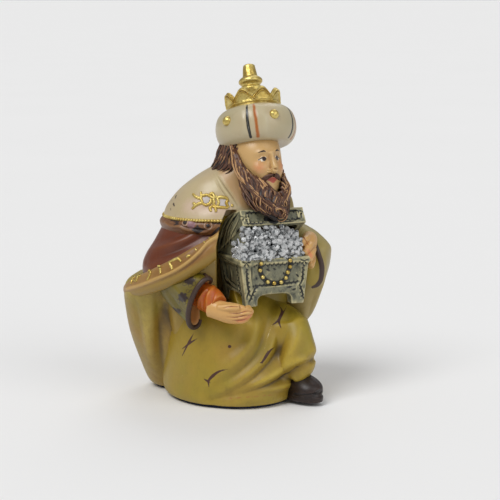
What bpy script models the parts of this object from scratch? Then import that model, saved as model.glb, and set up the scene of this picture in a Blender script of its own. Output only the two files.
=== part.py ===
"""Kneeling wise man with an open treasure chest: a painted casting, its clear chips and its felt pad."""

import math

import bmesh
import bpy
import numpy as np
from mathutils import Matrix, Vector

# Driving dimensions in metres
HEIGHT = 0.108
PAD_THICKNESS = 0.0008
PAD_INSET = 0.0011
FIT_GAP = 0.0003
CHEST_WIDTH = 0.0231
CHEST_DEPTH = 0.0187
CHEST_HEIGHT = 0.0149
CHEST_TAPER = 0.86
CHEST_WALL = 0.0016
RIM_HEIGHT = 0.0022
RIM_PROUD = 0.0004
TRAY_DEPTH = 0.0045
LEG_WIDTH = 0.0040
LEG_HEIGHT = 0.0036
LID_FRONT = 0.0054
LID_ARCH = 0.0020
LID_OPENING = math.radians(33)
LID_TAPER = 0.90
LID_LEAN = 0.0010
# How far the lid's back sinks into the chest, and its sides stand in from the rim's
LID_SUNK = 0.00015
ROOM_OVERCUT = 0.00012
PANEL_DEPTH = 0.0004
PANEL_MARGIN = 0.0042
LATCH_WIDTH = 0.0046
LATCH_BORDER = 0.0010
LID_BORDER = 0.0024
BEAD_RADIUS = 0.00068
BEAD_SUNK = 0.00013
BEAD_COUNT = 11
NECKLACE_WIDTH = 0.0104
NECKLACE_DROP = 0.0080
CHIP_RADIUS = 0.0017
# How far chips stand out of their core: less than their middles' depth, so that none bridges a gap
CHIP_COVER = 0.0008
CHIP_ROWS = 4
CHIP_COLUMNS = 6
STUD_RADIUS = 0.0014
CROWN_PEAKS = 8
# The turban's sides don't line up with the crown's
TURBAN_STEPS = 31
VOXEL = 0.0005
CASTING_TRIANGLES = 4750
WELD_DISTANCES = (0.00001, 0.000003, 0.000001, 0.0000002)

# The figure's pose is laid out in hundred-and-eighths of its height, about a millimetre each
STEP = HEIGHT / 108

# Turns about the upright, in degrees: the head's and the chest's
HEAD_TURN = 40
CHEST_TURN = 23

# Places in steps
HAT_CENTRE = (10.7, -3.4, 87.4)
HAT_LEAN = (-0.11, 0.31, 0.94)
CHEST_FOOT = (13.1, -11.7, 33.3)
CASTING_FLOOR = PAD_THICKNESS + FIT_GAP

# The room beside the chest: heights in steps, and the share of the chest's side that is hidden at its back
SIDE_ROOM = [(32.0, 0.0), (52.5, 0.0), (57.0, 0.12), (60.0, 0.24), (63.0, 0.42)]
# How far it reaches past the chest's side, as the side leans in towards the foot
SIDE_ROOM_OVERLAP = 2.4

# The hat, in steps from its centre: profiles that run down the outer side as radius and height
TURBAN_PROFILE = [
    (0.0, 6.2), (6.4, 6.3), (9.2, 6.0), (11.6, 4.4), (12.9, 1.6), (12.9, -1.4), (11.8, -4.2), (9.6, -5.8),
    (0.0, -5.6)
]
CROWN_PROFILE = [
    (0.0, 21.2), (1.4, 21.0), (1.95, 20.2), (2.4, 16.9), (3.7, 16.4), (3.9, 15.2), (3.3, 14.2), (3.7, 13.2),
    (3.7, 11.8), (4.6, 9.3), (7.3, 8.7), (8.5, 8.7), (8.1, 7.6), (8.5, 7.0), (8.3, 5.0), (0.0, 4.8)
]
CROWN_RIM = (8.0, 9.2)
CROWN_RISE = 3.4
CROWN_FLARE = 0.5
STUD_HEIGHT = 1.2
STUD_RING = 12.6
STUD_ANGLES = (-134, -62, 28, 86, 152)

# Level sections of each mass: x, y, z, half width across the body, half depth, turn
SKIRT = [
    (2.0, -1.0, 0.5, 19.6, 22.6, 36),
    (2.0, -1.0, 4.0, 20.8, 23.9, 36),
    (2.0, -1.0, 12.0, 20.3, 23.4, 36),
    (1.5, -1.0, 20.0, 19.4, 22.4, 36),
    (1.2, -0.5, 28.0, 18.4, 20.5, 36),
    (0.5, 1.0, 36.0, 16.5, 15.5, 36),
    (0.0, 2.0, 44.0, 14.5, 12.0, 36),
]
TORSO = [
    (0.0, 3.0, 34.0, 14.5, 12.0, 36),
    (1.0, 2.5, 46.0, 15.5, 11.5, 36),
    (2.5, 1.5, 56.0, 17.0, 11.5, 36),
    (3.5, 0.5, 64.0, 17.0, 11.0, 36),
    (5.0, -1.0, 70.0, 12.0, 9.0, 36),
    (6.5, -3.0, 75.0, 7.5, 7.0, 36),
]
CAPELET = [
    (1.4, 1.0, 59.4, 20.7, 17.2, 36),
    (1.4, 1.0, 60.2, 21.6, 18.1, 36),
    (1.5, 0.8, 63.0, 20.4, 17.0, 36),
    (2.2, 0.2, 66.5, 18.4, 15.2, 36),
    (3.4, -0.6, 70.0, 15.8, 12.9, 36),
    (4.8, -1.6, 73.2, 12.4, 10.6, 36),
    (6.4, -3.2, 76.0, 8.6, 8.4, 36),
]
BORDER = [
    (1.0, 1.6, 54.8, 20.4, 17.0, 36),
    (1.0, 1.6, 56.0, 22.2, 18.0, 36),
    (1.0, 1.5, 57.8, 22.7, 18.4, 36),
    (1.2, 1.3, 59.4, 21.8, 17.8, 36),
    (1.3, 1.2, 60.4, 19.8, 16.6, 36),
]
SHOULDER_CLOTH = [
    (-1.2, 1.4, 36.0, 21.0, 15.0, 36),
    (-2.0, 1.2, 40.0, 25.2, 18.0, 36),
    (-2.0, 1.1, 43.5, 26.0, 19.0, 36),
    (-1.9, 1.1, 47.0, 24.9, 18.6, 36),
    (-1.0, 1.2, 51.5, 22.6, 17.6, 36),
    (0.4, 1.4, 57.5, 20.4, 16.4, 36),
]
SIDE_FALL = [
    (-15.4, 12.4, 0.5, 8.6, 8.4, 36),
    (-15.8, 11.6, 3.0, 9.8, 9.6, 36),
    (-17.0, 8.8, 9.0, 10.6, 10.6, 36),
    (-19.4, 3.6, 20.0, 11.3, 11.0, 36),
    (-20.9, -1.2, 30.0, 11.1, 10.6, 36),
    (-21.5, -3.8, 35.6, 10.6, 10.0, 36),
    (-20.8, -2.6, 38.6, 10.2, 9.6, 36),
    (-18.6, -1.4, 41.0, 8.4, 8.6, 36),
]
BACK_FALL = [
    (2.4, 6.6, 0.5, 19.6, 15.0, 12),
    (2.2, 6.4, 4.0, 21.0, 16.2, 12),
    (0.8, 4.8, 18.0, 24.6, 17.2, 14),
    (0.2, 3.4, 34.0, 26.4, 17.6, 18),
    (0.0, 2.4, 44.0, 25.6, 17.0, 26),
    (0.6, 1.6, 54.0, 20.6, 15.6, 34),
]
FAR_SLEEVE = [
    (23.2, -1.0, 23.6, 2.6, 4.0, 36),
    (23.9, -1.2, 27.0, 4.2, 6.2, 36),
    (24.9, -0.8, 32.0, 5.2, 7.6, 36),
    (26.0, -0.2, 38.0, 6.0, 8.2, 36),
    (27.2, 0.6, 44.0, 6.6, 8.4, 36),
    (27.5, 1.2, 49.0, 6.8, 8.0, 36),
    (25.6, 2.4, 53.0, 5.2, 6.2, 36),
    (23.4, 3.4, 55.6, 3.2, 4.2, 36),
]
HAIR_BACK = [
    (3.4, -4.2, 69.8, 5.2, 5.0, 50),
    (4.2, -4.2, 73.0, 7.0, 6.6, 50),
    (5.6, -4.2, 77.0, 7.5, 7.4, 50),
    (7.2, -4.0, 82.0, 7.8, 8.0, 50),
    (8.8, -3.8, 86.0, 7.2, 7.4, 50),
]
SKULL = [
    (13.2, -10.4, 67.0, 4.2, 4.4, 40),
    (12.6, -9.8, 69.6, 5.9, 6.2, 40),
    (11.6, -8.6, 73.6, 7.0, 7.8, 40),
    (10.8, -7.6, 78.0, 7.6, 8.6, 40),
    (10.2, -6.6, 82.0, 7.5, 8.6, 40),
    (9.6, -5.4, 86.0, 6.4, 7.6, 40),
]
BEARD = [
    (17.4, -18.8, 59.4, 1.2, 1.2, 40),
    (16.6, -18.0, 60.8, 3.0, 2.6, 40),
    (14.6, -16.0, 62.8, 5.4, 4.4, 40),
    (13.6, -14.0, 65.6, 7.0, 5.6, 40),
    (13.4, -12.2, 68.6, 7.8, 6.2, 40),
    (12.0, -10.6, 72.0, 7.7, 6.8, 40),
    (11.2, -9.4, 75.0, 7.6, 6.6, 40),
]

# Sections across a limb's own path: x, y, z, half width, half height
RAISED_THIGH = [
    (2.0, 4.0, 28.0, 10.0, 8.0),
    (10.0, -2.0, 25.5, 9.6, 7.6),
    (18.0, -7.5, 24.2, 8.6, 7.4),
    (23.5, -11.5, 22.5, 5.6, 6.0),
]
RAISED_SHIN = [
    (20.6, -9.8, 25, 7.2, 6.6),
    (22.2, -11.5, 20, 6.9, 7.0),
    (23.0, -12.0, 14, 7.0, 7.2),
    (20.5, -12.0, 9.5, 5.0, 5.5),
]
NECK = [(4, 0, 68, 8, 8), (8, -4, 75, 6.8, 7), (10, -6, 79, 6.4, 7)]
FAR_COLLAR = [
    (13, 1, 71, 3, 3), (18.6, -1.6, 66, 2.8, 3), (20.8, -4.6, 60.6, 2.2, 2.6), (20.4, -6.4, 57, 1.6, 2),
]
FAR_ARM = [(12, 8, 56, 7, 7), (19, 6, 51.5, 7, 7), (25.5, 3, 47.5, 6.4, 6.4), (27.8, -2.5, 49, 4.2, 4.6)]
NEAR_SLEEVE = [
    (-17.5, -11.5, 41.0, 5.0, 5.0),
    (-13.5, -16.0, 38.6, 5.8, 6.8),
    (-9.8, -20.0, 36.6, 5.4, 8.0),
    (-6.4, -23.8, 34.6, 4.6, 8.8),
]
INNER_SLEEVE = [(-9.0, -20.0, 36.0, 4.4, 5.2), (-4.6, -25.0, 35.2, 4.2, 5.2), (-1.4, -27.8, 33.8, 3.2, 3.8)]
NEAR_PALM = [
    (-3.6, -26.8, 33.8, 2.6, 3.0),
    (-0.6, -28.2, 33.2, 2.8, 3.1),
    (2.6, -28.6, 32.3, 2.8, 3.2),
    (5.4, -28.0, 31.6, 2.4, 2.7),
    (7.2, -27.0, 31.8, 1.8, 2.0),
]
FAR_PALM = [(28.0, -3.0, 51.6, 2.6, 2.8), (27.6, -6.6, 50.8, 2.6, 3.4), (26.6, -9.4, 49.8, 2.2, 3.0)]
MANTLE_ROLL = [
    (5.4, -18.6, 57.6, 1.3, 2.4),
    (1.2, -21.2, 55.2, 1.8, 2.8),
    (-4.0, -23.4, 51.1, 2.3, 3.6),
    (-11.5, -22.8, 46.0, 2.7, 3.9),
    (-20.0, -18.0, 41.2, 2.8, 3.7),
    (-27.0, -10.4, 37.3, 2.6, 3.2),
    (-29.6, -3.6, 35.4, 2.6, 2.6),
    (-26.6, 4.4, 36.6, 2.6, 2.6),
    (-19.6, 12.2, 39.6, 2.6, 2.6),
    (-8.0, 18.6, 42.6, 2.4, 2.6),
    (8.0, 19.2, 44.6, 2.2, 2.6),
    (20.0, 12.6, 46.4, 1.9, 2.4),
    (27.0, 5.0, 48.6, 1.2, 2.0),
]
SHOE = [
    (20.0, -6.0, 4.4, 4.2, 3.8),
    (23.6, -9.2, 4.9, 4.9, 4.4),
    (26.6, -13.4, 4.7, 5.0, 4.4),
    (28.8, -16.0, 4.1, 4.4, 3.8),
    (30.2, -17.4, 3.4, 2.6, 2.7),
]

# Each finger: its joints from knuckle to tip, and its radius
NEAR_FINGERS = [
    [(3.6, -28.6, 34.2), (6.8, -29.4, 33.8), (8.4, -27.6, 33.6)],
    [(3.8, -29.6, 33.0), (7.4, -29.8, 32.6), (9.0, -27.8, 32.8)],
    [(3.8, -29.6, 31.7), (7.0, -29.6, 31.4), (8.6, -27.6, 31.8)],
    [(3.6, -29.0, 30.5), (6.2, -29.2, 30.3), (7.8, -27.6, 30.8)],
]
FAR_FINGERS = [
    [(27.8, -6.4, 53.0), (26.4, -10.4, 52.6), (24.4, -12.4, 51.0)],
    [(28.6, -7.6, 51.2), (27.6, -11.4, 50.4), (26.0, -13.2, 48.8)],
    [(29.0, -8.2, 49.2), (28.4, -11.6, 48.2), (27.4, -13.2, 46.6)],
    [(28.8, -7.8, 47.0), (28.6, -10.8, 45.8), (28.0, -12.4, 44.4)],
]
FINGER_RADIUS = 1.15

# The face, in steps from the middle of the head: to its left, forward and up
HEAD_MIDDLE = (11.0, -7.8, 78.0)
NOSE = [
    (0.0, 7.6, 2.8, 0.7, 0.9),
    (0.0, 8.9, 0.0, 0.9, 1.1),
    (0.0, 9.9, -2.4, 1.15, 1.2),
    (0.0, 8.8, -3.4, 0.9, 0.7),
]
LIPS = [
    (-1.9, 7.6, -5.6, 0.3, 0.4),
    (-0.8, 8.5, -5.4, 0.5, 0.8),
    (0.8, 8.5, -5.4, 0.5, 0.8),
    (1.9, 7.6, -5.6, 0.3, 0.4),
]
EYE_SIDE = 3.0
EYE_PLACE = (8.0, 0.9)

# Folds: the half width and height of the stroke, where a negative height is a valley, and its route
FOLDS = [
    (2.0, 1.5, [(12.5, -14, 32), (11.5, -19.5, 25), (10.5, -22, 17.5), (7.5, -23, 12.5), (2.5, -23.5, 7.5),
                (-2.5, -23, 3)]),
    (1.9, -1.0, [(9.5, -19.5, 27), (7.5, -21.5, 22), (5.5, -23, 17), (2, -23, 12), (-2.5, -23.5, 6.5)]),
    (1.7, -1.7, [(16.5, -15, 32.5), (14, -18.5, 23.5), (12, -21.5, 15.5), (9, -23, 10.5), (1, -23.5, 4.5)]),
    (1.9, 1.3, [(20.5, -15.5, 31.5), (18.5, -17.5, 21.5), (16, -19.5, 14), (11.5, -22.5, 9.5)]),
    (1.8, -1.1, [(22.5, -17, 28.5), (20.5, -18, 20), (17.5, -18.5, 12), (13, -22, 8)]),
    (2.2, 1.6, [(29.5, -15, 16.5), (24.5, -18, 14), (20, -17.5, 10.5), (12.5, -22, 7), (4.5, -24, 6)]),
    (1.3, -1.6, [(27, -17, 12.5), (23.5, -17.5, 9.5), (20, -16.5, 7), (16, -20.5, 5.5)]),
    (1.7, 1.2, [(25.5, -17, 9.5), (19.5, -17.5, 4.5), (12.5, -22, 3.5), (3.5, -23.5, 2.5)]),
    (2.0, -1.8, [(-18.5, -14, 33), (-18.5, -11.5, 22), (-19, -7.5, 10), (-18.5, -4, 2)]),
    (2.2, 0.8, [(-25, -12, 30), (-25.5, -8.5, 18), (-24, -3, 5.5)]),
    (2.2, -0.9, [(-24.5, -11, 46.5), (-19.5, -15.5, 48), (-13, -17, 51), (-7, -17, 55)]),
    (2.5, -1.6, [(-27, 9, 34), (-24, 14, 20), (-21, 15, 4)]),
    (2.5, 1.2, [(-20, 17, 38), (-17, 20, 20), (-15, 20, 3)]),
    (2.5, -1.8, [(-10, 21, 38), (-9, 22, 20), (-8, 22, 3)]),
    (3.0, 1.4, [(-1, 21, 42), (0, 23, 20), (0, 23, 3)]),
    (2.5, -1.8, [(8, 19, 40), (9, 22, 20), (9, 22, 3)]),
    (2.5, 1.2, [(17, 15, 40), (18, 17, 20), (17, 17, 3)]),
    (2.5, -1.6, [(23, 9, 38), (24, 10, 20), (23, 10, 3)]),
    (2.0, -1.0, [(5, 20, 56), (3, 20, 49), (1, 20, 43)]),
    (1.6, -0.9, [(29, -5, 42), (27.5, -7, 34), (25.5, -7, 27)]),
    (1.3, -0.6, [(-6.5, -9.5, 73), (-2.5, -14, 66), (-0.5, -17.5, 60)]),
]
LOCK_COUNT = 9
HAIR_LOCK_COUNT = 9

def remove_startup_objects():
    for obj in list(bpy.data.objects):
        bpy.data.objects.remove(obj, do_unlink=True)


def new_collection(name):
    collection = bpy.data.collections.new(name)
    bpy.context.scene.collection.children.link(collection)
    return collection


def new_object(name, mesh, collection):
    obj = bpy.data.objects.new(name, mesh)
    collection.objects.link(obj)
    return obj


def material(name, colour, roughness, metallic=0.0, alpha=1.0):
    made = bpy.data.materials.new(name)
    made.use_nodes = True
    shader = made.node_tree.nodes["Principled BSDF"]
    shader.inputs["Base Color"].default_value = (*colour, 1.0)
    shader.inputs["Roughness"].default_value = roughness
    shader.inputs["Metallic"].default_value = metallic
    shader.inputs["Alpha"].default_value = alpha
    return made


def smooth_rows(stations, pieces):
    """Rows read from a smooth curve through the stations."""
    rows = np.array(stations, float)
    ends = np.vstack([2 * rows[0] - rows[1], rows, 2 * rows[-1] - rows[-2]])
    read = []
    for index in range(len(rows) - 1):
        a, b, c, d = ends[index : index + 4]
        for t in np.arange(pieces) / pieces:
            bend = (2 * a - 5 * b + 4 * c - d) * t * t + (3 * b - 3 * c + d - a) * t**3
            read.append(0.5 * (2 * b + (c - a) * t + bend))
    read.append(rows[-1])
    return np.array(read)


def skin(rings):
    """A closed mesh over rings of equally many points, its ends filled."""
    form = bmesh.new()
    loops = [[form.verts.new(Vector(point) * STEP) for point in ring] for ring in rings]
    count = len(loops[0])
    for low, high in zip(loops, loops[1:]):
        for k in range(count):
            form.faces.new((low[k], low[(k + 1) % count], high[(k + 1) % count], high[k]))
    form.faces.new(list(reversed(loops[0])))
    form.faces.new(loops[-1])
    bmesh.ops.recalc_face_normals(form, faces=form.faces)
    return form


def level_form(stations, around=48, pieces=4):
    """A mass built up in level sections, each an ellipse turned about the upright."""
    rings = []
    angles = np.arange(around) * 2 * math.pi / around
    for x, y, z, across, along, turn in smooth_rows(stations, pieces):
        c, s = math.cos(math.radians(turn)), math.sin(math.radians(turn))
        u = np.cos(angles) * across
        w = np.sin(angles) * along
        rings.append(np.column_stack([x + u * c - w * s, y + u * s + w * c, np.full(around, z)]))
    return skin(rings)


def limb_form(stations, around=20, pieces=4):
    """A mass swept along a path, its sections square to the path."""
    rows = smooth_rows(stations, pieces)
    path = rows[:, :3]
    tangents = np.gradient(path, axis=0)
    angles = np.arange(around) * 2 * math.pi / around
    rings = []
    for place, tangent, (wide, high) in zip(path, tangents, rows[:, 3:5]):
        tangent = tangent / np.linalg.norm(tangent)
        side = np.cross(tangent, (0.0, 0.0, 1.0))
        side /= np.linalg.norm(side)
        rise = np.cross(side, tangent)
        rings.append(place + np.outer(np.cos(angles) * wide, side) + np.outer(np.sin(angles) * high, rise))
    return skin(rings)


def head_place(side, forward, up):
    """A place given from the middle of the head, to its left, forward and up."""
    c, s = math.cos(math.radians(HEAD_TURN)), math.sin(math.radians(HEAD_TURN))
    x, y, z = HEAD_MIDDLE
    return x + side * c + forward * s, y + side * s - forward * c, z + up


def on_sections(stations, angle, height, proud=0.0):
    """The place on a level form's skin at an angle from its front and a height."""
    rows = smooth_rows(stations, 8)
    x, y, across, along, turn = (np.interp(height, rows[:, 2], rows[:, k]) for k in (0, 1, 3, 4, 5))
    c, s = math.cos(math.radians(turn)), math.sin(math.radians(turn))
    side = (across + proud) * math.sin(angle)
    front = (along + proud) * math.cos(angle)
    return x + side * c + front * s, y + side * s - front * c, height


def lock_form(stations, first, last, top, tip, wave, radius):
    """A tapering lock of hair that waves down a level form's skin."""
    rows = []
    for t in np.linspace(0.0, 1.0, 6):
        angle = first + (last - first) * t + wave * math.sin(2.6 * math.pi * t) * (0.4 + 0.6 * t)
        place = on_sections(stations, angle, top + (tip - top) * t, 0.1)
        size = radius * (1.0 - 0.55 * t)
        rows.append((*place, size, size))
    return limb_form(rows, 8, 2)


def finger_form(joints):
    rows = [(*joint, FINGER_RADIUS, FINGER_RADIUS) for joint in joints]
    rows.append((*(np.array(joints[-1]) + (np.array(joints[-1]) - np.array(joints[-2])) * 0.2), 0.7, 0.7))
    return limb_form(rows, 10, 3)


def joined(name, forms, collection):
    mesh = bpy.data.meshes.new(name)
    whole = bmesh.new()
    for form in forms:
        piece = bpy.data.meshes.new("piece")
        form.to_mesh(piece)
        form.free()
        whole.from_mesh(piece)
        bpy.data.meshes.remove(piece)
    whole.to_mesh(mesh)
    whole.free()
    return new_object(name, mesh, collection)


def with_modifiers_applied(obj):
    """The object with its modifiers made part of its mesh."""
    graph = bpy.context.evaluated_depsgraph_get()
    mesh = bpy.data.meshes.new_from_object(obj.evaluated_get(graph))
    old = obj.data
    obj.modifiers.clear()
    obj.data = mesh
    bpy.data.meshes.remove(old)
    return obj


def remesh(obj, voxel):
    modifier = obj.modifiers.new("one skin", "REMESH")
    modifier.mode = "VOXEL"
    modifier.voxel_size = voxel
    modifier.adaptivity = 0.0
    return with_modifiers_applied(obj)


def soften(obj, rounds):
    modifier = obj.modifiers.new("soft casting", "SMOOTH")
    modifier.factor = 0.5
    modifier.iterations = rounds
    return with_modifiers_applied(obj)


def thin_out(obj, triangles):
    count = sum(len(face.vertices) - 2 for face in obj.data.polygons)
    modifier = obj.modifiers.new("fewer faces", "DECIMATE")
    modifier.ratio = triangles / count
    modifier.use_collapse_triangulate = True
    return with_modifiers_applied(obj)


def boolean(obj, other, operation):
    modifier = obj.modifiers.new(operation.lower(), "BOOLEAN")
    modifier.operation = operation
    modifier.solver = "EXACT"
    modifier.object = other
    bpy.context.view_layer.update()
    return with_modifiers_applied(obj)


def carve(obj, folds):
    """Raises ridges and presses valleys along routes over the skin."""
    mesh = obj.data
    places = np.empty(len(mesh.vertices) * 3, np.float32)
    mesh.vertices.foreach_get("co", places)
    places = places.reshape(-1, 3).astype(float) / STEP
    normals = np.empty(len(mesh.vertices) * 3, np.float32)
    mesh.vertex_normals.foreach_get("vector", normals)
    normals = normals.reshape(-1, 3).astype(float)
    moved = np.zeros(len(places))
    for width, height, route in folds:
        rows = smooth_rows(route, 10)
        near = np.full(len(places), 1e9)
        where = np.zeros(len(places))
        for index, row in enumerate(rows):
            gap = ((places - row) ** 2).sum(axis=1)
            nearer = gap < near
            near[nearer] = gap[nearer]
            where[nearer] = index / (len(rows) - 1)
        fade = np.sin(math.pi * np.clip(where, 0.06, 0.94)) ** 0.5
        moved += height * fade * np.exp(-near / width**2)
    places += normals * moved[:, None]
    mesh.vertices.foreach_set("co", (places * STEP).astype(np.float32).ravel())
    mesh.update()


def box_form(size, place=(0, 0, 0)):
    form = bmesh.new()
    matrix = Matrix.Translation(Vector(place)) @ Matrix.Diagonal((*size, 1.0))
    bmesh.ops.create_cube(form, size=1.0, matrix=matrix)
    return form


def turned_object(name, profile, collection, steps=32):
    """A solid turned about its own upright from a profile that runs down its outer side."""
    mesh = bpy.data.meshes.new(name)
    edges = [(i, i + 1) for i in range(len(profile) - 1)]
    mesh.from_pydata([(r * STEP, 0.0, z * STEP) for r, z in profile], edges, [])
    obj = new_object(name, mesh, collection)
    screw = obj.modifiers.new("turn", "SCREW")
    screw.steps = steps
    screw.render_steps = steps
    screw.use_merge_vertices = True
    screw.merge_threshold = 0.00001
    return with_modifiers_applied(obj)


def place_on_hat(obj):
    """Lays an object that was turned upright on the hat's leaning axis."""
    lean = Vector(HAT_LEAN).normalized()
    turn = Vector((0, 0, 1)).rotation_difference(lean).to_matrix().to_4x4()
    obj.data.transform(Matrix.Translation(Vector(HAT_CENTRE) * STEP) @ turn)
    return obj


def mesh_object(name, form, collection):
    return joined(name, [form], collection)


def union_all(obj, others):
    """One solid of an object and everything that grows out of it."""
    group = bpy.data.collections.new("grown together")
    bpy.context.scene.collection.children.link(group)
    for other in others:
        for holder in list(other.users_collection):
            holder.objects.unlink(other)
        group.objects.link(other)
    modifier = obj.modifiers.new("union", "BOOLEAN")
    modifier.operation = "UNION"
    modifier.solver = "EXACT"
    modifier.operand_type = "COLLECTION"
    modifier.collection = group
    bpy.context.view_layer.update()
    with_modifiers_applied(obj)
    for other in others:
        bpy.data.objects.remove(other, do_unlink=True)
    bpy.data.collections.remove(group)
    return obj


def cut(obj, cutter):
    boolean(obj, cutter, "DIFFERENCE")
    bpy.data.objects.remove(cutter, do_unlink=True)
    return obj


def tidy(obj):
    """Welds points that booleans leave on top of each other, as widely as the solid stays closed."""
    for distance in WELD_DISTANCES:
        form = bmesh.new()
        form.from_mesh(obj.data)
        bmesh.ops.remove_doubles(form, verts=form.verts, dist=distance)
        bmesh.ops.dissolve_degenerate(form, edges=form.edges, dist=distance)
        bmesh.ops.triangulate(form, faces=form.faces)
        bmesh.ops.delete(form, geom=[edge for edge in form.edges if not edge.link_faces], context="EDGES")
        loose = [vertex for vertex in form.verts if not vertex.link_faces]
        bmesh.ops.delete(form, geom=loose, context="VERTS")
        closed = all(len(edge.link_faces) == 2 for edge in form.edges)
        if closed or distance == WELD_DISTANCES[-1]:
            form.to_mesh(obj.data)
        form.free()
        if closed:
            break
    return obj


def crown_object(collection):
    """The crown's peaks are drawn up from a turned rim, with the finial in its middle."""
    obj = turned_object("crown", CROWN_PROFILE, collection, CROWN_PEAKS * 5)
    rim_radius, rim_height = CROWN_RIM
    for vertex in obj.data.vertices:
        x, y, z = vertex.co / STEP
        radius = math.hypot(x, y)
        if abs(radius - rim_radius) < 0.9 and abs(z - rim_height) < 0.6:
            wave = 0.5 - 0.5 * math.cos(CROWN_PEAKS * math.atan2(y, x))
            grown = 1.0 + CROWN_FLARE * wave / radius
            vertex.co = Vector((x * grown, y * grown, z + CROWN_RISE * wave)) * STEP
    return obj


def stud_forms(collection):
    studs = []
    for angle in np.radians(STUD_ANGLES):
        form = bmesh.new()
        place = Vector((math.cos(angle) * STUD_RING, math.sin(angle) * STUD_RING, STUD_HEIGHT)) * STEP
        bmesh.ops.create_uvsphere(
            form, u_segments=8, v_segments=5, radius=STUD_RADIUS, matrix=Matrix.Translation(place)
        )
        studs.append(mesh_object("stud", form, collection))
    return studs


def lid_form(half_width, depths, lows, highs):
    """A solid across the lid, from its rows of depth, low and high edge; the lid narrows to its front."""
    rings = []
    for depth, low, high in zip(depths, lows, highs):
        share = depth / CHEST_DEPTH
        half = half_width - (1.0 - LID_TAPER) * CHEST_WIDTH / 2 * share
        left, right = LID_LEAN * share - half, LID_LEAN * share + half
        rings.append([(left, -depth, low), (right, -depth, low), (right, -depth, high), (left, -depth, high)])
    return skin(np.array(rings) / STEP)


def chest_body_form():
    half, depth = CHEST_WIDTH / 2, CHEST_DEPTH / 2
    levels = [(0.0, CHEST_TAPER, 0.0), (CHEST_HEIGHT - RIM_HEIGHT, 1.0, 0.0),
              (CHEST_HEIGHT - RIM_HEIGHT, 1.0, RIM_PROUD), (CHEST_HEIGHT, 1.0, RIM_PROUD)]
    rings = []
    for z, share, proud in levels:
        w, d = half * share + proud, depth + proud
        rings.append([(-w, -d, z), (w, -d, z), (w, d, z), (-w, d, z)])
    return skin(np.array(rings) / STEP)


def arch_form(half_width, height, along_depth, reach):
    """A cutter with a round top for the apron between two legs."""
    angles = np.linspace(0, math.pi, 9)
    side = np.concatenate([[half_width], half_width * np.sign(np.cos(angles)) * np.abs(np.cos(angles)) ** 0.5,
                           [-half_width]])
    rise = np.concatenate([[-0.001], height * np.sin(angles) ** 0.5, [-0.001]])
    rings = []
    for end in (-reach, reach):
        across = np.full(len(side), end)
        columns = (side, across, rise) if along_depth else (across, side, rise)
        rings.append(np.column_stack(columns))
    return skin(np.array(rings) / STEP)


def on_chest(obj):
    """Turns and places an object that was built about the middle of the chest's foot."""
    turn = Matrix.Rotation(math.radians(CHEST_TURN), 4, "Z")
    obj.data.transform(Matrix.Translation(Vector(CHEST_FOOT) * STEP) @ turn)
    return obj


def lid_object(collection):
    """The arched lid, raised about the upper back edge of the chest."""
    depths = np.linspace(0.0, CHEST_DEPTH, 9)
    arch = LID_FRONT + LID_ARCH * np.sin(math.pi * depths / CHEST_DEPTH)
    half_width = CHEST_WIDTH / 2 + RIM_PROUD - LID_SUNK
    lid = mesh_object("lid", lid_form(half_width, depths, np.zeros(9), arch), collection)
    room = np.array([CHEST_WALL, CHEST_DEPTH - CHEST_WALL])
    ceiling = LID_FRONT - CHEST_WALL
    hollow = lid_form(CHEST_WIDTH / 2 - CHEST_WALL, room, (-ceiling, -ceiling), (ceiling, ceiling))
    cut(lid, mesh_object("lid hollow", hollow, collection))
    panel = (CHEST_WIDTH * LID_TAPER - LATCH_WIDTH) / 2 - LID_BORDER
    for side in (-1, 1):
        middle = LID_LEAN + side * (LATCH_WIDTH + panel + LATCH_BORDER * 2) / 2
        place = (middle, -CHEST_DEPTH, LID_FRONT * 0.5)
        recess = box_form((panel, 2 * PANEL_DEPTH, LID_FRONT - LID_BORDER), place)
        cut(lid, mesh_object("lid panel", recess, collection))
    hinge = Matrix.Translation((0, CHEST_DEPTH / 2 - LID_SUNK, CHEST_HEIGHT - LID_SUNK))
    swing = hinge @ Matrix.Rotation(-LID_OPENING, 4, "X")
    lid.data.transform(swing)
    return on_chest(lid)


def room_form(gap, top_gap):
    """The space for the chips, from the tray's floor to under the raised lid, less its gaps."""
    half = CHEST_WIDTH / 2 - CHEST_WALL - gap
    depth = CHEST_DEPTH / 2 - CHEST_WALL - gap
    floor = CHEST_HEIGHT - TRAY_DEPTH + gap
    slope = math.tan(LID_OPENING)
    low = CHEST_HEIGHT - 2 * top_gap
    back = low + slope * (CHEST_DEPTH / 2 - depth)
    front = low + slope * (CHEST_DEPTH / 2 + depth)
    rings = [
        [(-half, -depth, floor), (half, -depth, floor), (half, depth, floor), (-half, depth, floor)],
        [(-half, -depth, front), (half, -depth, front), (half, depth, back), (-half, depth, back)],
    ]
    return skin(np.array(rings) / STEP)


def side_room_object(collection):
    """The space that the mantle leaves open beside the chest's near side, for the side to be seen."""
    c, s = math.cos(math.radians(CHEST_TURN)), math.sin(math.radians(CHEST_TURN))
    x, y, _ = CHEST_FOOT
    side = (CHEST_WIDTH / 2 + RIM_PROUD) / STEP
    half = (CHEST_DEPTH / 2 + RIM_PROUD) / STEP
    rings = []
    inner = SIDE_ROOM_OVERLAP - side
    for z, share in SIDE_ROOM:
        back = half * (1.0 - 2.0 * share)
        corners = [(inner, back), (inner, -half), (-side, back)]
        ring = [(x + a * c - b * s, y + a * s + b * c, z) for a, b in corners]
        ring.insert(2, (ring[2][0], ring[1][1] - 1.0, z))
        rings.append(ring)
    return mesh_object("side room", skin(rings), collection)


def necklace_places():
    """The beads' middles, hung in a U on the chest's front, from its middle and up from its foot."""
    places = []
    for t in np.linspace(0.0, math.pi, BEAD_COUNT):
        height = CHEST_HEIGHT - BEAD_RADIUS - math.sin(t) ** 0.8 * NECKLACE_DROP
        places.append((-math.cos(t) * NECKLACE_WIDTH / 2, height))
    return places


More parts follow.
